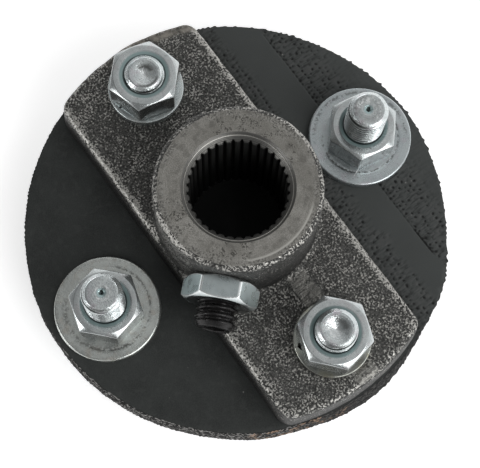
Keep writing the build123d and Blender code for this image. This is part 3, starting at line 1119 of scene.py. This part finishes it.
def disc_mesh(name):
    """The rubber and cloth disc with its ragged edge and printed top."""
    angles = even_angles(DISC_SEGMENTS)
    side = disc_side(angles)
    inside = disc_points(angles, reach_of(side[0]))
    holes = []
    for hole_name in BOLT_NODES:
        centre = node_axis(hole_name)
        inside = inside[np.linalg.norm(inside - centre, axis=1) > HOLE_RADIUS + 0.5]
        holes.append(circle(even_angles(48), HOLE_RADIUS, 0) + np.array([*centre, 0]))
    shells = [skin(side)]
    shells.append(flat_cap(side[0], inside, holes, 0))
    shells.append(flat_cap(side[-1], inside[::5], holes, DISC_BOTTOM))
    shells += [skin([hole, hole + np.array([0, 0, DISC_BOTTOM])]) for hole in holes]
    faces = []
    start = 0
    for points, shell_faces in shells:
        faces += [tuple(i + start for i in face) for face in shell_faces]
        start += len(points)
    mesh = new_mesh(name, np.concatenate([points for points, shell_faces in shells]), faces, merge=0.002)
    print_cloth(mesh)
    return mesh


# Materials

class Value:
    """A number, place or colour in a node tree. Arithmetic with values adds the nodes for it."""

    def __init__(self, owner, socket):
        self.owner = owner
        self.socket = socket

    def __add__(self, other):
        return self.owner.math("ADD", self, other)

    def __sub__(self, other):
        return self.owner.math("SUBTRACT", self, other)

    def __rsub__(self, other):
        return self.owner.math("SUBTRACT", other, self)

    def __mul__(self, other):
        return self.owner.math("MULTIPLY", self, other)

    def __truediv__(self, other):
        return self.owner.math("DIVIDE", self, other)

    def __abs__(self):
        return self.owner.math("ABSOLUTE", self)

    def most(self, other):
        """The larger of two numbers."""
        return self.owner.math("MAXIMUM", self, other)

    def fade(self, low, high, start=0.0, end=1.0):
        """A smooth change from start to end as this number goes from low to high."""
        inputs = {"Value": self, "From Min": low, "From Max": high, "To Min": start, "To Max": end}
        return self.owner.node("ShaderNodeMapRange", inputs, interpolation_type="SMOOTHSTEP")

    def blend(self, first, second):
        """A mix of two colours: the first where this number is 0, the second where it is 1."""
        return self.owner.node("ShaderNodeMix", {0: self, 6: first, 7: second}, 2, data_type="RGBA")


class Nodes:
    """A node tree and short ways to add nodes to it."""

    def __init__(self, tree):
        self.tree = tree

    def feed(self, socket, value):
        """Link a value to a socket, or write a number, direction or colour on it."""
        if isinstance(value, Value):
            self.tree.links.new(value.socket, socket)
        elif socket.type == "RGBA":
            socket.default_value = (*value, 1)
        else:
            socket.default_value = value

    def node(self, kind, inputs=None, output=0, **settings):
        """Add a node with its settings and inputs, and return one of its outputs."""
        made = self.tree.nodes.new(kind)
        for key, value in settings.items():
            setattr(made, key, value)
        for key, value in (inputs or {}).items():
            self.feed(made.inputs[key], value)
        return Value(self, made.outputs[output])

    def math(self, operation, first, second=0.0):
        """One arithmetic step."""
        return self.node("ShaderNodeMath", {0: first, 1: second}, operation=operation)

    def vector(self, operation, first, second=(0, 0, 0), output=0):
        """One step of vector arithmetic."""
        return self.node("ShaderNodeVectorMath", {0: first, 1: second}, output, operation=operation)

    def towards(self, place, direction):
        """How far a place reaches in a direction."""
        return self.vector("DOT_PRODUCT", place, direction, "Value")


class Paint(Nodes):
    """One procedural material, with places in millimetres."""

    def __init__(self, name, metallic=0.0):
        self.material = bpy.data.materials.new(name)
        self.material.use_nodes = True
        super().__init__(self.material.node_tree)
        self.shader = self.tree.nodes["Principled BSDF"]
        self.shader.inputs["Metallic"].default_value = metallic
        self.place = self.stretch(self.node("ShaderNodeTexCoord", output="Object"), (1 / MM, 1 / MM, 1 / MM))

    def stretch(self, place, factors):
        """A place multiplied along each axis."""
        return self.vector("MULTIPLY", place, factors)

    def noise(self, size, detail=2.0, seed=0.0, stretch=None, place=None):
        """Cloudy noise between 0 and 1 whose lumps are about one size wide."""
        where = self.place if place is None else place
        if stretch:
            where = self.stretch(where, stretch)
        inputs = {"Vector": where, "W": seed, "Scale": 1 / size, "Detail": detail}
        return self.node("ShaderNodeTexNoise", inputs, "Fac", noise_dimensions="4D")

    def rings(self, reach, pitch, detail=2.0):
        """Noise that depends on the distance from the axis alone, for turned rings of one pitch."""
        place = self.node("ShaderNodeCombineXYZ", {0: reach / pitch})
        return self.noise(1.0, detail, place=place)

    def cells(self, size):
        """Distance to the nearest of many scattered points."""
        return self.node("ShaderNodeTexVoronoi", {"Vector": self.place, "Scale": 1 / size}, "Distance")

    def axes(self):
        """The x, y and z of the place."""
        split = self.node("ShaderNodeSeparateXYZ", {0: self.place}).socket.node
        return [Value(self, socket) for socket in split.outputs]

    def reach(self):
        """Distance from the object's Z axis."""
        return self.vector("LENGTH", self.stretch(self.place, (1, 1, 0)), output="Value")

    def sector(self, angle, low, high):
        """1 towards one direction seen from the Z axis, in degrees, and 0 away from it."""
        unit = self.vector("NORMALIZE", self.stretch(self.place, (1, 1, 0)))
        turn = math.radians(angle)
        return self.towards(unit, (math.cos(turn), math.sin(turn), 0)).fade(low, high)

    def layer(self, name):
        """A number stored on the mesh."""
        return self.node("ShaderNodeAttribute", output="Fac", attribute_name=name)

    def scratch(self, start, end, width):
        """1 on a thin straight scratch between two points of a flat top, seen from above."""
        length = math.dist(start, end)
        along = Vector((end[0] - start[0], end[1] - start[1], 0)) / length
        across = Vector((-along.y, along.x, 0))
        origin = Vector((*start, 0))
        run = self.towards(self.place, along) - origin.dot(along)
        off = self.towards(self.place, across) - origin.dot(across)
        inside = abs(run - length / 2).fade(0.4 * length, 0.5 * length, 1.0, 0.0)
        return abs(off).fade(0.4 * width, width, 1.0, 0.0) * inside

    def bump(self, height, depth, **below):
        """A bump of a given depth in millimetres. Normal, if given, is the bump that it lies on."""
        return self.node("ShaderNodeBump", {"Distance": depth * MM, "Height": height, **below})

    def finish(self, colour, roughness, bump, **others):
        """Connect the results to the shader, others by the names of their sockets. Return the material."""
        inputs = {"Base Color": colour, "Roughness": roughness, "Normal": bump, **others}
        for name, value in inputs.items():
            self.feed(self.shader.inputs[name], value)
        return self.material


def rubbed_grain(paint, mixed, wall, x, y):
    """Where the casting's grain is rubbed bright: most along its edges and on a few thin ridges."""
    curl = paint.noise(0.62, detail=1.5, seed=11.0)
    patches = paint.noise(2.4, seed=3.0)
    level = patches.fade(0.3, 0.7, 0.05, -0.05) + 0.56 + wall * 0.05
    level -= paint.layer("rub") * x.fade(*RIGHT_END_RUB, 0.06, 0.02)
    level -= abs(y).fade(*RUBBED_BORDER, 0.0, 0.12) * x.fade(*RUBBED_BORDER_END, 1.0, 0.1)
    ridge = abs(curl - 0.5).fade(0.008, 0.032, 0.8, 0.0) * mixed.fade(0.42, 0.54)
    ridge *= patches.fade(0.35, 0.6, 0.25, 1.0) * wall.fade(0.0, 1.0, 1.0, 0.2)
    return (mixed - level).fade(0.0, 0.06).most(ridge)


def cast_wall_shade(x, z, wall):
    """Where the casting's walls are painted black as shade: low on the bar, less at its right end, and on
    the hub.
    """
    bar = z.fade(x.fade(*RIGHT_END, 3.5, 0.5), x.fade(*RIGHT_END, 7.9, 4.5), 0.92, 0.0)
    hub = z.fade(*HUB_SHADE_FADE, 0.6, 0.0) * z.fade(*HUB_SHADE_FROM)
    return bar.most(hub) * wall


def cast_paint():
    """Dark rough casting whose grain is rubbed bright, densest along worn edges and ground patches; its
    upward edges are partly worn and partly painted as highlights, and its walls carry painted shade low
    down.
    """
    paint = Paint("cast_steel")
    x, y, z = paint.axes()
    wall = paint.layer("wall")
    grain = paint.noise(0.40, detail=2.5)
    dust = paint.noise(0.18, detail=1.0, seed=5.0)
    mixed = grain + dust.fade(0.3, 0.7, -0.03, 0.03)
    rubbed = rubbed_grain(paint, mixed, wall, x, y)
    dark = mixed.fade(0.36, 0.54).blend((0.010, 0.010, 0.009), (0.060, 0.060, 0.056))
    plain = mixed.fade(0.36, 0.6).blend((0.013, 0.013, 0.013), (0.055, 0.055, 0.052))
    dark = (wall * 0.7).blend(dark, plain)
    bright = dust.fade(0.35, 0.6).blend((0.26, 0.256, 0.24), (0.52, 0.51, 0.48))
    colour = rubbed.blend(dark, bright)
    # Upward edges: partly real worn metal, partly a painted highlight.
    worn = mixed.fade(0.475, 0.555).blend((0.032, 0.032, 0.03), (0.58, 0.572, 0.54))
    worn_and_highlit_share = paint.layer("edge_wear_and_highlight").fade(0.3, 0.85, 0.0, 0.85) * x.fade(*RIGHT_END, 1.0, 0.5)
    colour = worn_and_highlit_share.blend(colour, worn)
    ground = paint.layer("ground") * paint.noise(0.9, seed=8.0).fade(0.3, 0.55)
    scratches = paint.noise(1.0, detail=3.0, seed=7.0, stretch=(4.5, 0.35, 1.0))
    ground_colour = scratches.fade(0.3, 0.7).blend((0.09, 0.089, 0.082), (0.36, 0.355, 0.33))
    colour = (ground * 0.8).blend(colour, ground_colour)
    streaks = paint.noise(1.0, detail=4.0, seed=2.0, stretch=(0.45, 0.45, 4.0))
    scorch_colour = streaks.fade(0.4, 0.65).blend((0.085, 0.078, 0.066), (0.30, 0.28, 0.245))
    colour = (paint.layer("scorch") * streaks.fade(0.3, 0.5, 0.3, 0.9)).blend(colour, scorch_colour)
    # Painted shade low on the walls.
    colour = cast_wall_shade(x, z, wall).blend(colour, (0.006, 0.006, 0.006))
    clean = worn_and_highlit_share.most(ground).most(rubbed)
    bump = paint.bump(grain * clean.fade(0.0, 1.0, 1.0, 0.6), 0.25)
    metallic = clean.fade(0.0, 1.0, 0.15, 0.8)
    return paint.finish(colour, clean.fade(0.0, 1.0, 0.62, 0.42), bump, Metallic=metallic)


def turned_pits(paint):
    """Pores that the cut left open, in a few sectors of the turned face."""
    pitted = paint.sector(PITTED_SIDES[0], 0.9, 0.99)
    for angle in PITTED_SIDES[1:]:
        pitted = pitted.most(paint.sector(angle, 0.9, 0.99))
    pitted *= paint.noise(1.4, detail=1.0, seed=33.0).fade(0.35, 0.6)
    pores = paint.noise(0.3, detail=2.5, seed=4.0)
    return (pores - pitted.fade(0.0, 1.0, 0.72, 0.49)).fade(0.0, 0.08)


def turned_paint():
    """Turned hub face: fine rings and grain in warm grey, with pores left in a few places and a painted
    highlight along the rim on one side.
    """
    paint = Paint("turned_steel", metallic=0.9)
    reach = paint.reach()
    rings = paint.rings(reach + paint.noise(2.0).fade(0.0, 1.0, 0.0, 0.05), 0.16, detail=3.0)
    grain = paint.noise(0.2, seed=14.0)
    tone = paint.noise(3.5, detail=4.0, seed=1.0)
    colour = tone.fade(0.3, 0.7).blend((0.30, 0.292, 0.267), (0.45, 0.44, 0.41))
    colour = rings.fade(0.35, 0.65, 0.0, 0.35).blend(colour, (0.19, 0.183, 0.166))
    colour = grain.fade(0.4, 0.62, 0.0, 0.55).blend(colour, (0.16, 0.155, 0.14))
    blotch = paint.noise(1.7, detail=3.0, seed=51.0).fade(0.50, 0.64, 0.0, 0.45)
    colour = blotch.blend(colour, (0.13, 0.126, 0.114))
    pit = turned_pits(paint)
    colour = (pit * 0.75).blend(colour, (0.06, 0.058, 0.052))
    rim = reach.fade(*TURNED_RIM)
    rim_grain = paint.noise(0.33, detail=2.5, seed=8.0)
    rim_colour = rim_grain.fade(0.4, 0.58).blend((0.12, 0.117, 0.108), (0.34, 0.333, 0.31))
    rim_patches = paint.noise(3.0, seed=27.0).fade(0.40, 0.56, 0.15, 0.85)
    colour = (rim * rim_patches).blend(colour, rim_colour)
    # A painted highlight along the rim's edge on one side.
    line = rim - reach.fade(*TURNED_RIM_LINE_END)
    rim_highlight = line * paint.sector(RIM_HIGHLIGHT_SIDE, 0.7, 0.95).fade(0.0, 1.0, 0.08, 0.85)
    colour = rim_highlight.blend(colour, (0.60, 0.59, 0.55))
    bump = paint.bump(rings, 0.02)
    bump = paint.bump(grain, 0.03, Normal=bump)
    bump = paint.bump(1.0 - pit, 0.06, Normal=bump)
    return paint.finish(colour, tone.fade(0.3, 0.7, 0.36, 0.5), bump)


def bore_paint():
    """Broached bore: painted nearly black as shade deep down, with painted shade in the spline spaces, and
    turned grey steel at its mouth with a painted highlight on the lip's ridge.
    """
    paint = Paint("bore_steel", metallic=0.85)
    reach = paint.reach()
    z = paint.axes()[2]
    streaks = paint.noise(0.3, stretch=(1, 1, 0.08))
    # Painted shade deep in the bore.
    deep = streaks.blend((0.022, 0.024, 0.023), (0.045, 0.048, 0.046))
    # Painted shade in the spline spaces; the lands are lighter.
    crest = reach.fade(SPLINE_MAJOR_RADIUS - 0.1, BORE_RADIUS)
    middle = crest.blend((0.014, 0.014, 0.014), (0.085, 0.086, 0.083))
    mouth = paint.rings(reach, 0.1).fade(0.38, 0.62).blend((0.045, 0.045, 0.043), (0.21, 0.207, 0.195))
    # A painted highlight on the ridge of the lip.
    ridge = abs(reach - (LEAD_IN_RADIUS - 0.08)).fade(0.03, 0.12, 1.0, 0.0)
    mouth = ridge.blend(mouth, (0.50, 0.49, 0.46))
    colour = z.fade(*BORE_DEEP).blend(deep, middle)
    colour = z.fade(*BORE_MOUTH).blend(colour, mouth)
    return paint.finish(colour, streaks.fade(0.3, 0.7, 0.3, 0.42), paint.bump(streaks, 0.04))


def handling_marks_and_painted_light(paint, colour, reach, marks, mark_colour):
    """Patches on a ring about the axis, each strongest in its own direction: used for scuffing, for painted
    shade and for painted glints.
    """
    for angle, low, ring, width, even, strength in marks:
        near = abs(reach - ring).fade(0.0, width, 1.0, 0.0) * paint.sector(angle, low, low + 0.3)
        rubbed = paint.noise(0.45, detail=3.0, seed=ring).fade(0.44 - 0.3 * even, 0.56 - 0.3 * even)
        colour = (near * rubbed * strength).blend(colour, mark_colour)
    return colour


def zinc_paint(name, light, shade, tint, teal=False, scuffs_and_shade=(), glints=(), shaded_flanks=(), scratch=None,
               roughness=(0.2, 0.34), grain_share=0.28, grain_depth=0.03):
    """Bright zinc plating with faint chromate tints, random marks, scuffing, patches of painted shade,
    painted glints, and shade painted into its grooves and, on nuts, into the gap to the bolt.
    """
    paint = Paint(name, metallic=0.9)
    reach = paint.reach()
    cloud = paint.noise(2.6, detail=4.0, seed=2.0)
    rings = paint.rings(reach, 0.22)
    grain = paint.noise(0.24, seed=9.0)
    marks = paint.noise(0.5, detail=3.0, seed=12.0)
    colour = cloud.fade(0.32, 0.68).blend(shade, light)
    colour = paint.noise(1.9, seed=6.0).fade(0.5, 0.72, 0.0, 0.7).blend(colour, tint)
    colour = rings.fade(0.4, 0.7, 0.0, 0.2).blend(colour, (0.26, 0.27, 0.27))
    colour = grain.fade(0.5, 0.75, 0.0, grain_share).blend(colour, (0.26, 0.265, 0.26))
    colour = marks.fade(0.64, 0.72, 0.0, 0.45).blend(colour, (0.14, 0.135, 0.125))
    # Dark patches: scuffing on most washers, and painted shade and dark reflections on the bolts, the nuts
    # and the right lock washer.
    colour = handling_marks_and_painted_light(paint, colour, reach, scuffs_and_shade, (0.055, 0.052, 0.046))
    # Painted glints.
    colour = handling_marks_and_painted_light(paint, colour, reach, glints, (0.93, 0.96, 0.96))
    # Sides painted dark as shade.
    for angle, strength in shaded_flanks:
        patchy = paint.noise(1.6, detail=3.0, seed=angle).fade(0.3, 0.6, 0.6, 1.0)
        share = paint.layer("flank") * paint.sector(angle, 0.86, 0.88) * patchy * strength
        colour = share.blend(colour, (0.05, 0.05, 0.045))
    if scratch:
        colour = paint.scratch(*scratch).blend(colour, (0.95, 0.97, 0.97))
    colour = (paint.layer("hollow") * 0.75).blend(colour, (0.36, 0.50, 0.51))
    # Shade painted into the thread grooves and the centre mark's core.
    colour = paint.layer("groove").fade(0.06, 0.42, 0.0, 0.95).blend(colour, (0.030, 0.036, 0.034))
    rough = cloud.fade(0.3, 0.7, *roughness)
    bump = paint.bump(rings, 0.014)
    bump = paint.bump(grain, grain_depth, Normal=bump)
    if not teal:
        return paint.finish(colour, rough, bump)
    ring = reach.fade(COUNTERSINK_RADIUS - 0.1, COUNTERSINK_RADIUS + 0.3, 0.85, 0.0)
    colour = ring.blend(colour, (0.17, 0.255, 0.255))
    # Painted shade in the gap between nut and bolt.
    gap = reach.fade(BOLT_RADIUS + 0.1, BOLT_RADIUS + 0.34, 0.9, 0.0)
    colour = gap.blend(colour, (0.02, 0.03, 0.03))
    return paint.finish(colour, rough, bump, Metallic=ring.fade(0.0, 0.85, 0.9, 0.25))


def jam_nut_paint():
    """Even satin zinc with a bluish cast, as on the thin nut, with painted highlights on one side and on its
    edges and corners, and painted shade on its outer end face.
    """
    paint = Paint("satin_zinc", metallic=0.92)
    cloud = paint.noise(2.2, detail=3.0, seed=31.0)
    streaks = paint.noise(0.5, detail=3.0, seed=3.0, stretch=(1.0, 1.0, 0.25))
    flank = paint.layer("flank")
    colour = cloud.fade(0.35, 0.65).blend((0.45, 0.508, 0.514), (0.525, 0.585, 0.592))
    colour = streaks.fade(0.5, 0.7, 0.0, 0.1).blend(colour, (0.25, 0.28, 0.275))
    # A painted highlight on one side and a teal tint on another.
    for angle, share, tint in JAM_NUT_GLINTS_AND_TINTS:
        colour = (flank * paint.sector(angle, 0.86, 0.88) * share).blend(colour, tint)
    colour = ((1.0 - flank) * 0.3).blend(colour, (0.16, 0.175, 0.175))
    # Painted highlights on the corners and chamfer edges.
    colour = (paint.layer("crest") * 0.8).blend(colour, (0.97, 1.0, 1.0))
    # The outer end face is painted dark as shade.
    outer_end = JAM_NUT_SEAT + JAM_NUT_THICKNESS
    face = paint.axes()[2].fade(outer_end - 0.2, outer_end - 0.05)
    face *= paint.reach().fade(*JAM_NUT_SHADED_FACE, 0.85, 0.0)
    colour = face.blend(colour, (0.03, 0.03, 0.03))
    bump = paint.bump(paint.noise(0.3, seed=4.0), 0.012)
    return paint.finish(colour, cloud.fade(0.3, 0.7, 0.24, 0.34), bump)


def black_screw_paint():
    """Black oxide screw with a cloudy satin sheen."""
    paint = Paint("black_steel", metallic=0.6)
    cloud = paint.noise(1.2, detail=3.0)
    colour = cloud.blend((0.009, 0.0085, 0.009), (0.03, 0.029, 0.029))
    return paint.finish(colour, cloud.fade(0.3, 0.7, 0.2, 0.34), paint.bump(paint.noise(0.2), 0.02))


def rubber_top(paint, cloud, fine, threads, cloth):
    """Colour of the disc's top: dull black with dust and a paler strip, with shade painted into the dents
    and cut line and under the bore.
    """
    y, z = paint.axes()[1:3]
    colour = cloud.fade(0.35, 0.65).blend((0.0225, 0.0248, 0.0241), (0.0325, 0.0357, 0.0346))
    smudge = paint.noise(1.3, detail=5.0, seed=44.0)
    colour = smudge.fade(0.5, 0.68, 0.0, 0.35).blend(colour, (0.052, 0.055, 0.053))
    colour = fine.fade(0.4, 0.62, 0.0, 0.45).blend(colour, (0.045, 0.048, 0.046))
    strip_colour = cloud.blend((0.0545, 0.0592, 0.0578), (0.068, 0.0735, 0.0715))
    colour = y.fade(BAR_EDGE_Y, STRIP_EDGE_Y, 0.0, 0.85).blend(colour, strip_colour)
    colour = (cloth * threads.fade(0.45, 0.65, 0.0, 0.6)).blend(colour, (0.075, 0.076, 0.075))
    colour = (cloth * threads.fade(0.35, 0.5, 0.55, 0.0)).blend(colour, (0.018, 0.018, 0.018))
    dust = paint.cells(2.6).fade(0.05, 0.085, 0.8, 0.0) * paint.noise(2.0, seed=12.0).fade(0.56, 0.62)
    colour = dust.blend(colour, (0.20, 0.20, 0.19))
    # Shade painted into the dents and the cut line.
    colour = paint.layer("dent").fade(0.12, 0.8, 0.0, 0.85).blend(colour, (0.004, 0.004, 0.004))
    # Painted shade on the disc under the bore.
    under_bore_shade = paint.reach().fade(BORE_RADIUS, HUB_SHADOW_RADIUS, 0.9, 0.0) * z.fade(-2.0, -1.0)
    return under_bore_shade.blend(colour, (0.006, 0.0065, 0.006))


def yarn_pattern(paint):
    """Ends of the cut yarns on the disc's side: one staggered row for each ply."""
    x, y, z = paint.axes()
    turns = z * (2 * math.pi * PLY_COUNT / DISC_BOTTOM)
    row = paint.math("FLOOR", turns / (2 * math.pi))
    stretch = paint.noise(3.0, seed=17.0).fade(0.3, 0.7, -4.0, 4.0)
    around = paint.math("ARCTAN2", y, x) * EDGE_YARNS + stretch + row * math.pi
    weave = paint.math("COSINE", around) - paint.math("COSINE", turns)
    return paint.noise(0.5, detail=2.5, seed=1.0, stretch=(0.7, 0.7, 1.2)) + weave * 0.045


def yarn_edge(paint, yarn):
    """Colour of the disc's side: black with pale yarn ends, frayed and brownish in places."""
    fleck = yarn.fade(0.52, 0.61) * paint.sector(FRAYED_SIDE, 0.6, 0.9).fade(0.0, 1.0, 0.15, 1.0)
    colour = yarn.fade(0.36, 0.5).blend((0.003, 0.003, 0.003), (0.016, 0.016, 0.0155))
    colour = fleck.blend(colour, (0.32, 0.313, 0.302))
    warm = paint.noise(1.9, seed=21.0, stretch=(0.6, 0.6, 1.4)).fade(0.51, 0.59)
    warm *= paint.sector(BROWN_SIDE, 0.955, 0.985) * yarn.fade(0.44, 0.54)
    return warm.blend(colour, (0.30, 0.205, 0.145))


def rubber_paint():
    """Rubber-filled cloth: dull black top with dust, and pale yarn ends on its cut edge."""
    paint = Paint("rubber_fabric")
    paint.shader.inputs["Specular IOR Level"].default_value = 0.2
    cloud = paint.noise(7.0, detail=4.0)
    fine = paint.noise(0.25, detail=3.0, seed=3.0)
    threads = paint.noise(0.4, detail=3.0, seed=15.0, stretch=(1.0, 0.22, 1.0))
    cloth = paint.layer("cloth")
    side = paint.layer("side")
    yarn = yarn_pattern(paint)
    colour = side.blend(rubber_top(paint, cloud, fine, threads, cloth), yarn_edge(paint, yarn))
    bump = paint.bump(fine, 0.035)
    bump = paint.bump(threads * cloth, 0.12, Normal=bump)
    bump = paint.bump(yarn * side, 0.3, Normal=bump)
    return paint.finish(colour, cloud.fade(0.3, 0.7, 0.55, 0.68).most(side * 0.8), bump)


def floor_paint():
    """A plain pale floor that looks white and keeps a light shadow."""
    paint = Paint("floor_paint")
    cloud = paint.noise(40.0)
    paint.finish(cloud.blend((0.93, 0.93, 0.93), (0.96, 0.96, 0.96)), 0.8, paint.bump(cloud, 0.01))
    rays = [f"Is {kind} Ray" for kind in ("Camera", "Glossy", "Transmission")]
    camera, glossy, through = [paint.node("ShaderNodeLightPath", output=ray) for ray in rays]
    seen = camera.most(glossy).most(through)
    white = paint.node("ShaderNodeEmission", {"Strength": seen * FLOOR_GLOW})
    both = paint.node("ShaderNodeAddShader", {0: Value(paint, paint.shader.outputs[0]), 1: white})
    paint.feed(paint.tree.nodes["Material Output"].inputs["Surface"], both)
    return paint.material


# Stage

def make_camera():
    """The camera at the photograph's viewing angle."""
    data = bpy.data.cameras.new("camera")
    data.sensor_fit = "HORIZONTAL"
    data.sensor_width = SENSOR_WIDTH
    data.lens = LENS
    data.clip_start = 0.01
    data.clip_end = 10.0
    camera = bpy.data.objects.new("camera", data)
    back = CAMERA_BACK.normalized()
    right = (CAMERA_RIGHT - back * CAMERA_RIGHT.dot(back)).normalized()
    turn = Matrix((right, back.cross(right), back)).transposed().to_4x4()
    camera.matrix_world = Matrix.Translation(CAMERA_PLACE * MM) @ turn
    bpy.context.scene.collection.objects.link(camera)
    bpy.context.scene.camera = camera


def make_lamp(name, azimuth, elevation, distance, width, height, power):
    """A soft box that points at the hub."""
    data = bpy.data.lights.new(name, "AREA")
    data.shape = "RECTANGLE"
    data.size = width
    data.size_y = height
    data.energy = power
    around = math.radians(azimuth)
    up = math.radians(elevation)
    away = Vector((math.cos(around) * math.cos(up), math.sin(around) * math.cos(up), math.sin(up)))
    turn = away.to_track_quat("Z", "Y").to_matrix().to_4x4()
    lamp = bpy.data.objects.new(name, data)
    lamp.matrix_world = Matrix.Translation(away * distance) @ turn
    bpy.context.scene.collection.objects.link(lamp)


def make_world():
    """A studio tent: white round the horizon, dimmer overhead, and brighter on one side."""
    world = bpy.data.worlds.new("studio")
    bpy.context.scene.world = world
    world.use_nodes = True
    tent = Nodes(world.node_tree)
    light = world.node_tree.nodes["Background"]
    direction = tent.node("ShaderNodeTexCoord", output="Generated")
    height = tent.node("ShaderNodeSeparateXYZ", {0: direction}, "Z")
    level = height.fade(TENT_WHITE_BELOW, TENT_DIM_ABOVE, 1.0, TENT_OVERHEAD)
    side = tent.towards(direction, (math.cos(TENT_BRIGHT_SIDE), math.sin(TENT_BRIGHT_SIDE), 0))
    swing = side.fade(TENT_DARK_UNTIL, TENT_BRIGHT_FROM, TENT_DARK_LEVEL, TENT_BRIGHT_LEVEL)
    tent.feed(light.inputs["Color"], (1, 1, 1))
    tent.feed(light.inputs["Strength"], level * swing)


def make_floor():
    """A wide floor just under the bolt heads."""
    low = cad_bounds[0][2] / MM - FLOOR_GAP
    edge = FLOOR_HALF_WIDTH
    points = [(-edge, -edge, low), (edge, -edge, low), (edge, edge, low), (-edge, edge, low)]
    floor = add_object("floor", new_mesh("floor", points, [(0, 1, 2, 3)]))
    floor.data.materials.append(floor_paint())


def washer_paints():
    """The zinc of the four kinds of washer, each with its slot."""
    bright = zinc_paint(
        "zinc_steel", (0.56, 0.61, 0.62), (0.47, 0.52, 0.535), (0.52, 0.52, 0.55),
        scuffs_and_shade=[(150, -0.2, 9.4, 0.6, 0, 0.6), (20, -0.9, 7.8, 0.35, 0, 0.8)],
        scratch=((6.2, -6.3), (5.3, -4.1), 0.12),
    )
    light = zinc_paint(
        "light_zinc", (0.70, 0.76, 0.76), (0.58, 0.63, 0.635), (0.66, 0.68, 0.66), roughness=(0.16, 0.28),
    )
    # The right lock washer's low side is painted dark as shade.
    olive = zinc_paint(
        "olive_zinc_steel", (0.50, 0.515, 0.47), (0.40, 0.42, 0.39), (0.42, 0.40, 0.27),
        scuffs_and_shade=[(-35, 0.35, 6.6, 3.5, 1, 0.62)], roughness=(0.16, 0.26),
    )
    dull = zinc_paint(
        "dull_zinc_steel", (0.66, 0.69, 0.66), (0.54, 0.57, 0.55), (0.54, 0.52, 0.47),
        scuffs_and_shade=[(60, 0.1, 8.4, 0.5, 0, 0.6), (290, 0.2, 8.3, 0.9, 0, 0.6), (0, -1.3, 9.9, 0.5, 0, 0.2)],
    )
    return {
        "left": (light, "zinc_steel"),
        "right": (olive, "olive_zinc_steel"),
        "back": (bright, "zinc_steel"),
        "front": (dull, "olive_zinc_steel"),
    }


def bolt_paint(place):
    """The zinc of one bolt, with its own painted shade and painted glints."""
    return zinc_paint(
        f"zinc_bolt_{place}", (0.74, 0.79, 0.79), (0.56, 0.61, 0.62), (0.60, 0.56, 0.60),
        scuffs_and_shade=BOLT_PAINTED_SHADE[place], glints=BOLT_GLINTS[place], roughness=(0.16, 0.3),
        grain_share=0.55, grain_depth=0.06,
    )


def nut_paint(place):
    """The zinc of one nut, with its own painted shade on its sides and corners, and a teal ring round its
    mouth.
    """
    return zinc_paint(
        f"zinc_nut_{place}", (0.66, 0.70, 0.70), (0.54, 0.58, 0.585), (0.56, 0.55, 0.56), teal=True,
        scuffs_and_shade=NUT_PAINTED_SHADE.get(place, []), shaded_flanks=NUT_SHADED_FLANKS.get(place, []), roughness=(0.18, 0.28),
        grain_depth=0.02,
    )


def make_fasteners():
    """The bolts, nuts and washers, each in place of its CAD node."""
    paints = washer_paints()
    for bolt in BOLT_NODES:
        kind, place = bolt.split("_bolt_")
        spot = Matrix.Translation((*(node_axis(bolt) * MM), 0))
        hollow = dish if kind == "bar" else centre_mark
        stand_in(bolt, "threaded", dress(bolt_mesh(bolt, hollow), bolt_paint(place)), spot)
        nut = f"{kind}_nut_{place}"
        nut_shape = dress(bolt_nut_mesh(nut, NUT_TURNS[place]), nut_paint(place))
        stand_in(nut, "threaded", nut_shape, spot)
        washer = f"{kind}_bottom_washer_{place}"
        stand_in(washer, "stamped", dress(flat_washer_mesh(washer), paints["back"][0]), spot)
        paint, slot = paints[place]
        if kind == "bar":
            washer = f"bar_lock_washer_{place}"
            mesh = lock_washer_mesh(washer, LOCK_WASHER_TURNS[place], LOCK_WASHER_SPLITS[place])
            stand_in(washer, "split", dress(mesh, paint), spot)
        else:
            washer = f"stud_top_washer_{place}"
            mesh = flat_washer_mesh(washer, WASHER_GROOVES[place])
            own_spot = Matrix.Translation((*(node_axis(washer) * MM), 0))
            stand_in(washer, "stamped", dress(mesh, paint), own_spot)


def make_set_screw():
    """The set screw and its jam nut."""
    jam_nut = dress(jam_nut_mesh(), jam_nut_paint())
    stand_in("set_screw_jam_nut", "threaded", jam_nut, screw_matrix())
    screw = dress(set_screw_mesh(), black_screw_paint())
    stand_in("set_screw", "threaded", screw, screw_matrix())


def make_casting():
    """The hub and bar."""
    mesh = casting_mesh()
    add_wear(mesh)
    mesh.materials.clear()
    for paint in (cast_paint(), turned_paint(), bore_paint()):
        mesh.materials.append(paint)
    mark_machined(mesh)
    stand_in("hub_flange", "casting", mesh)


def make_disc():
    """The rag disc."""
    mesh = dress(disc_mesh("rag_disc_cloth"), rubber_paint(), sharp_angle=60)
    stand_in("rag_disc", "cloth", mesh)


make_camera()
make_world()
make_floor()
for lamp_name, lamp_values in LAMPS.items():
    make_lamp(lamp_name, *lamp_values)
make_fasteners()
make_set_screw()
make_casting()
make_disc()

bpy.context.scene.view_settings.view_transform = "Standard"
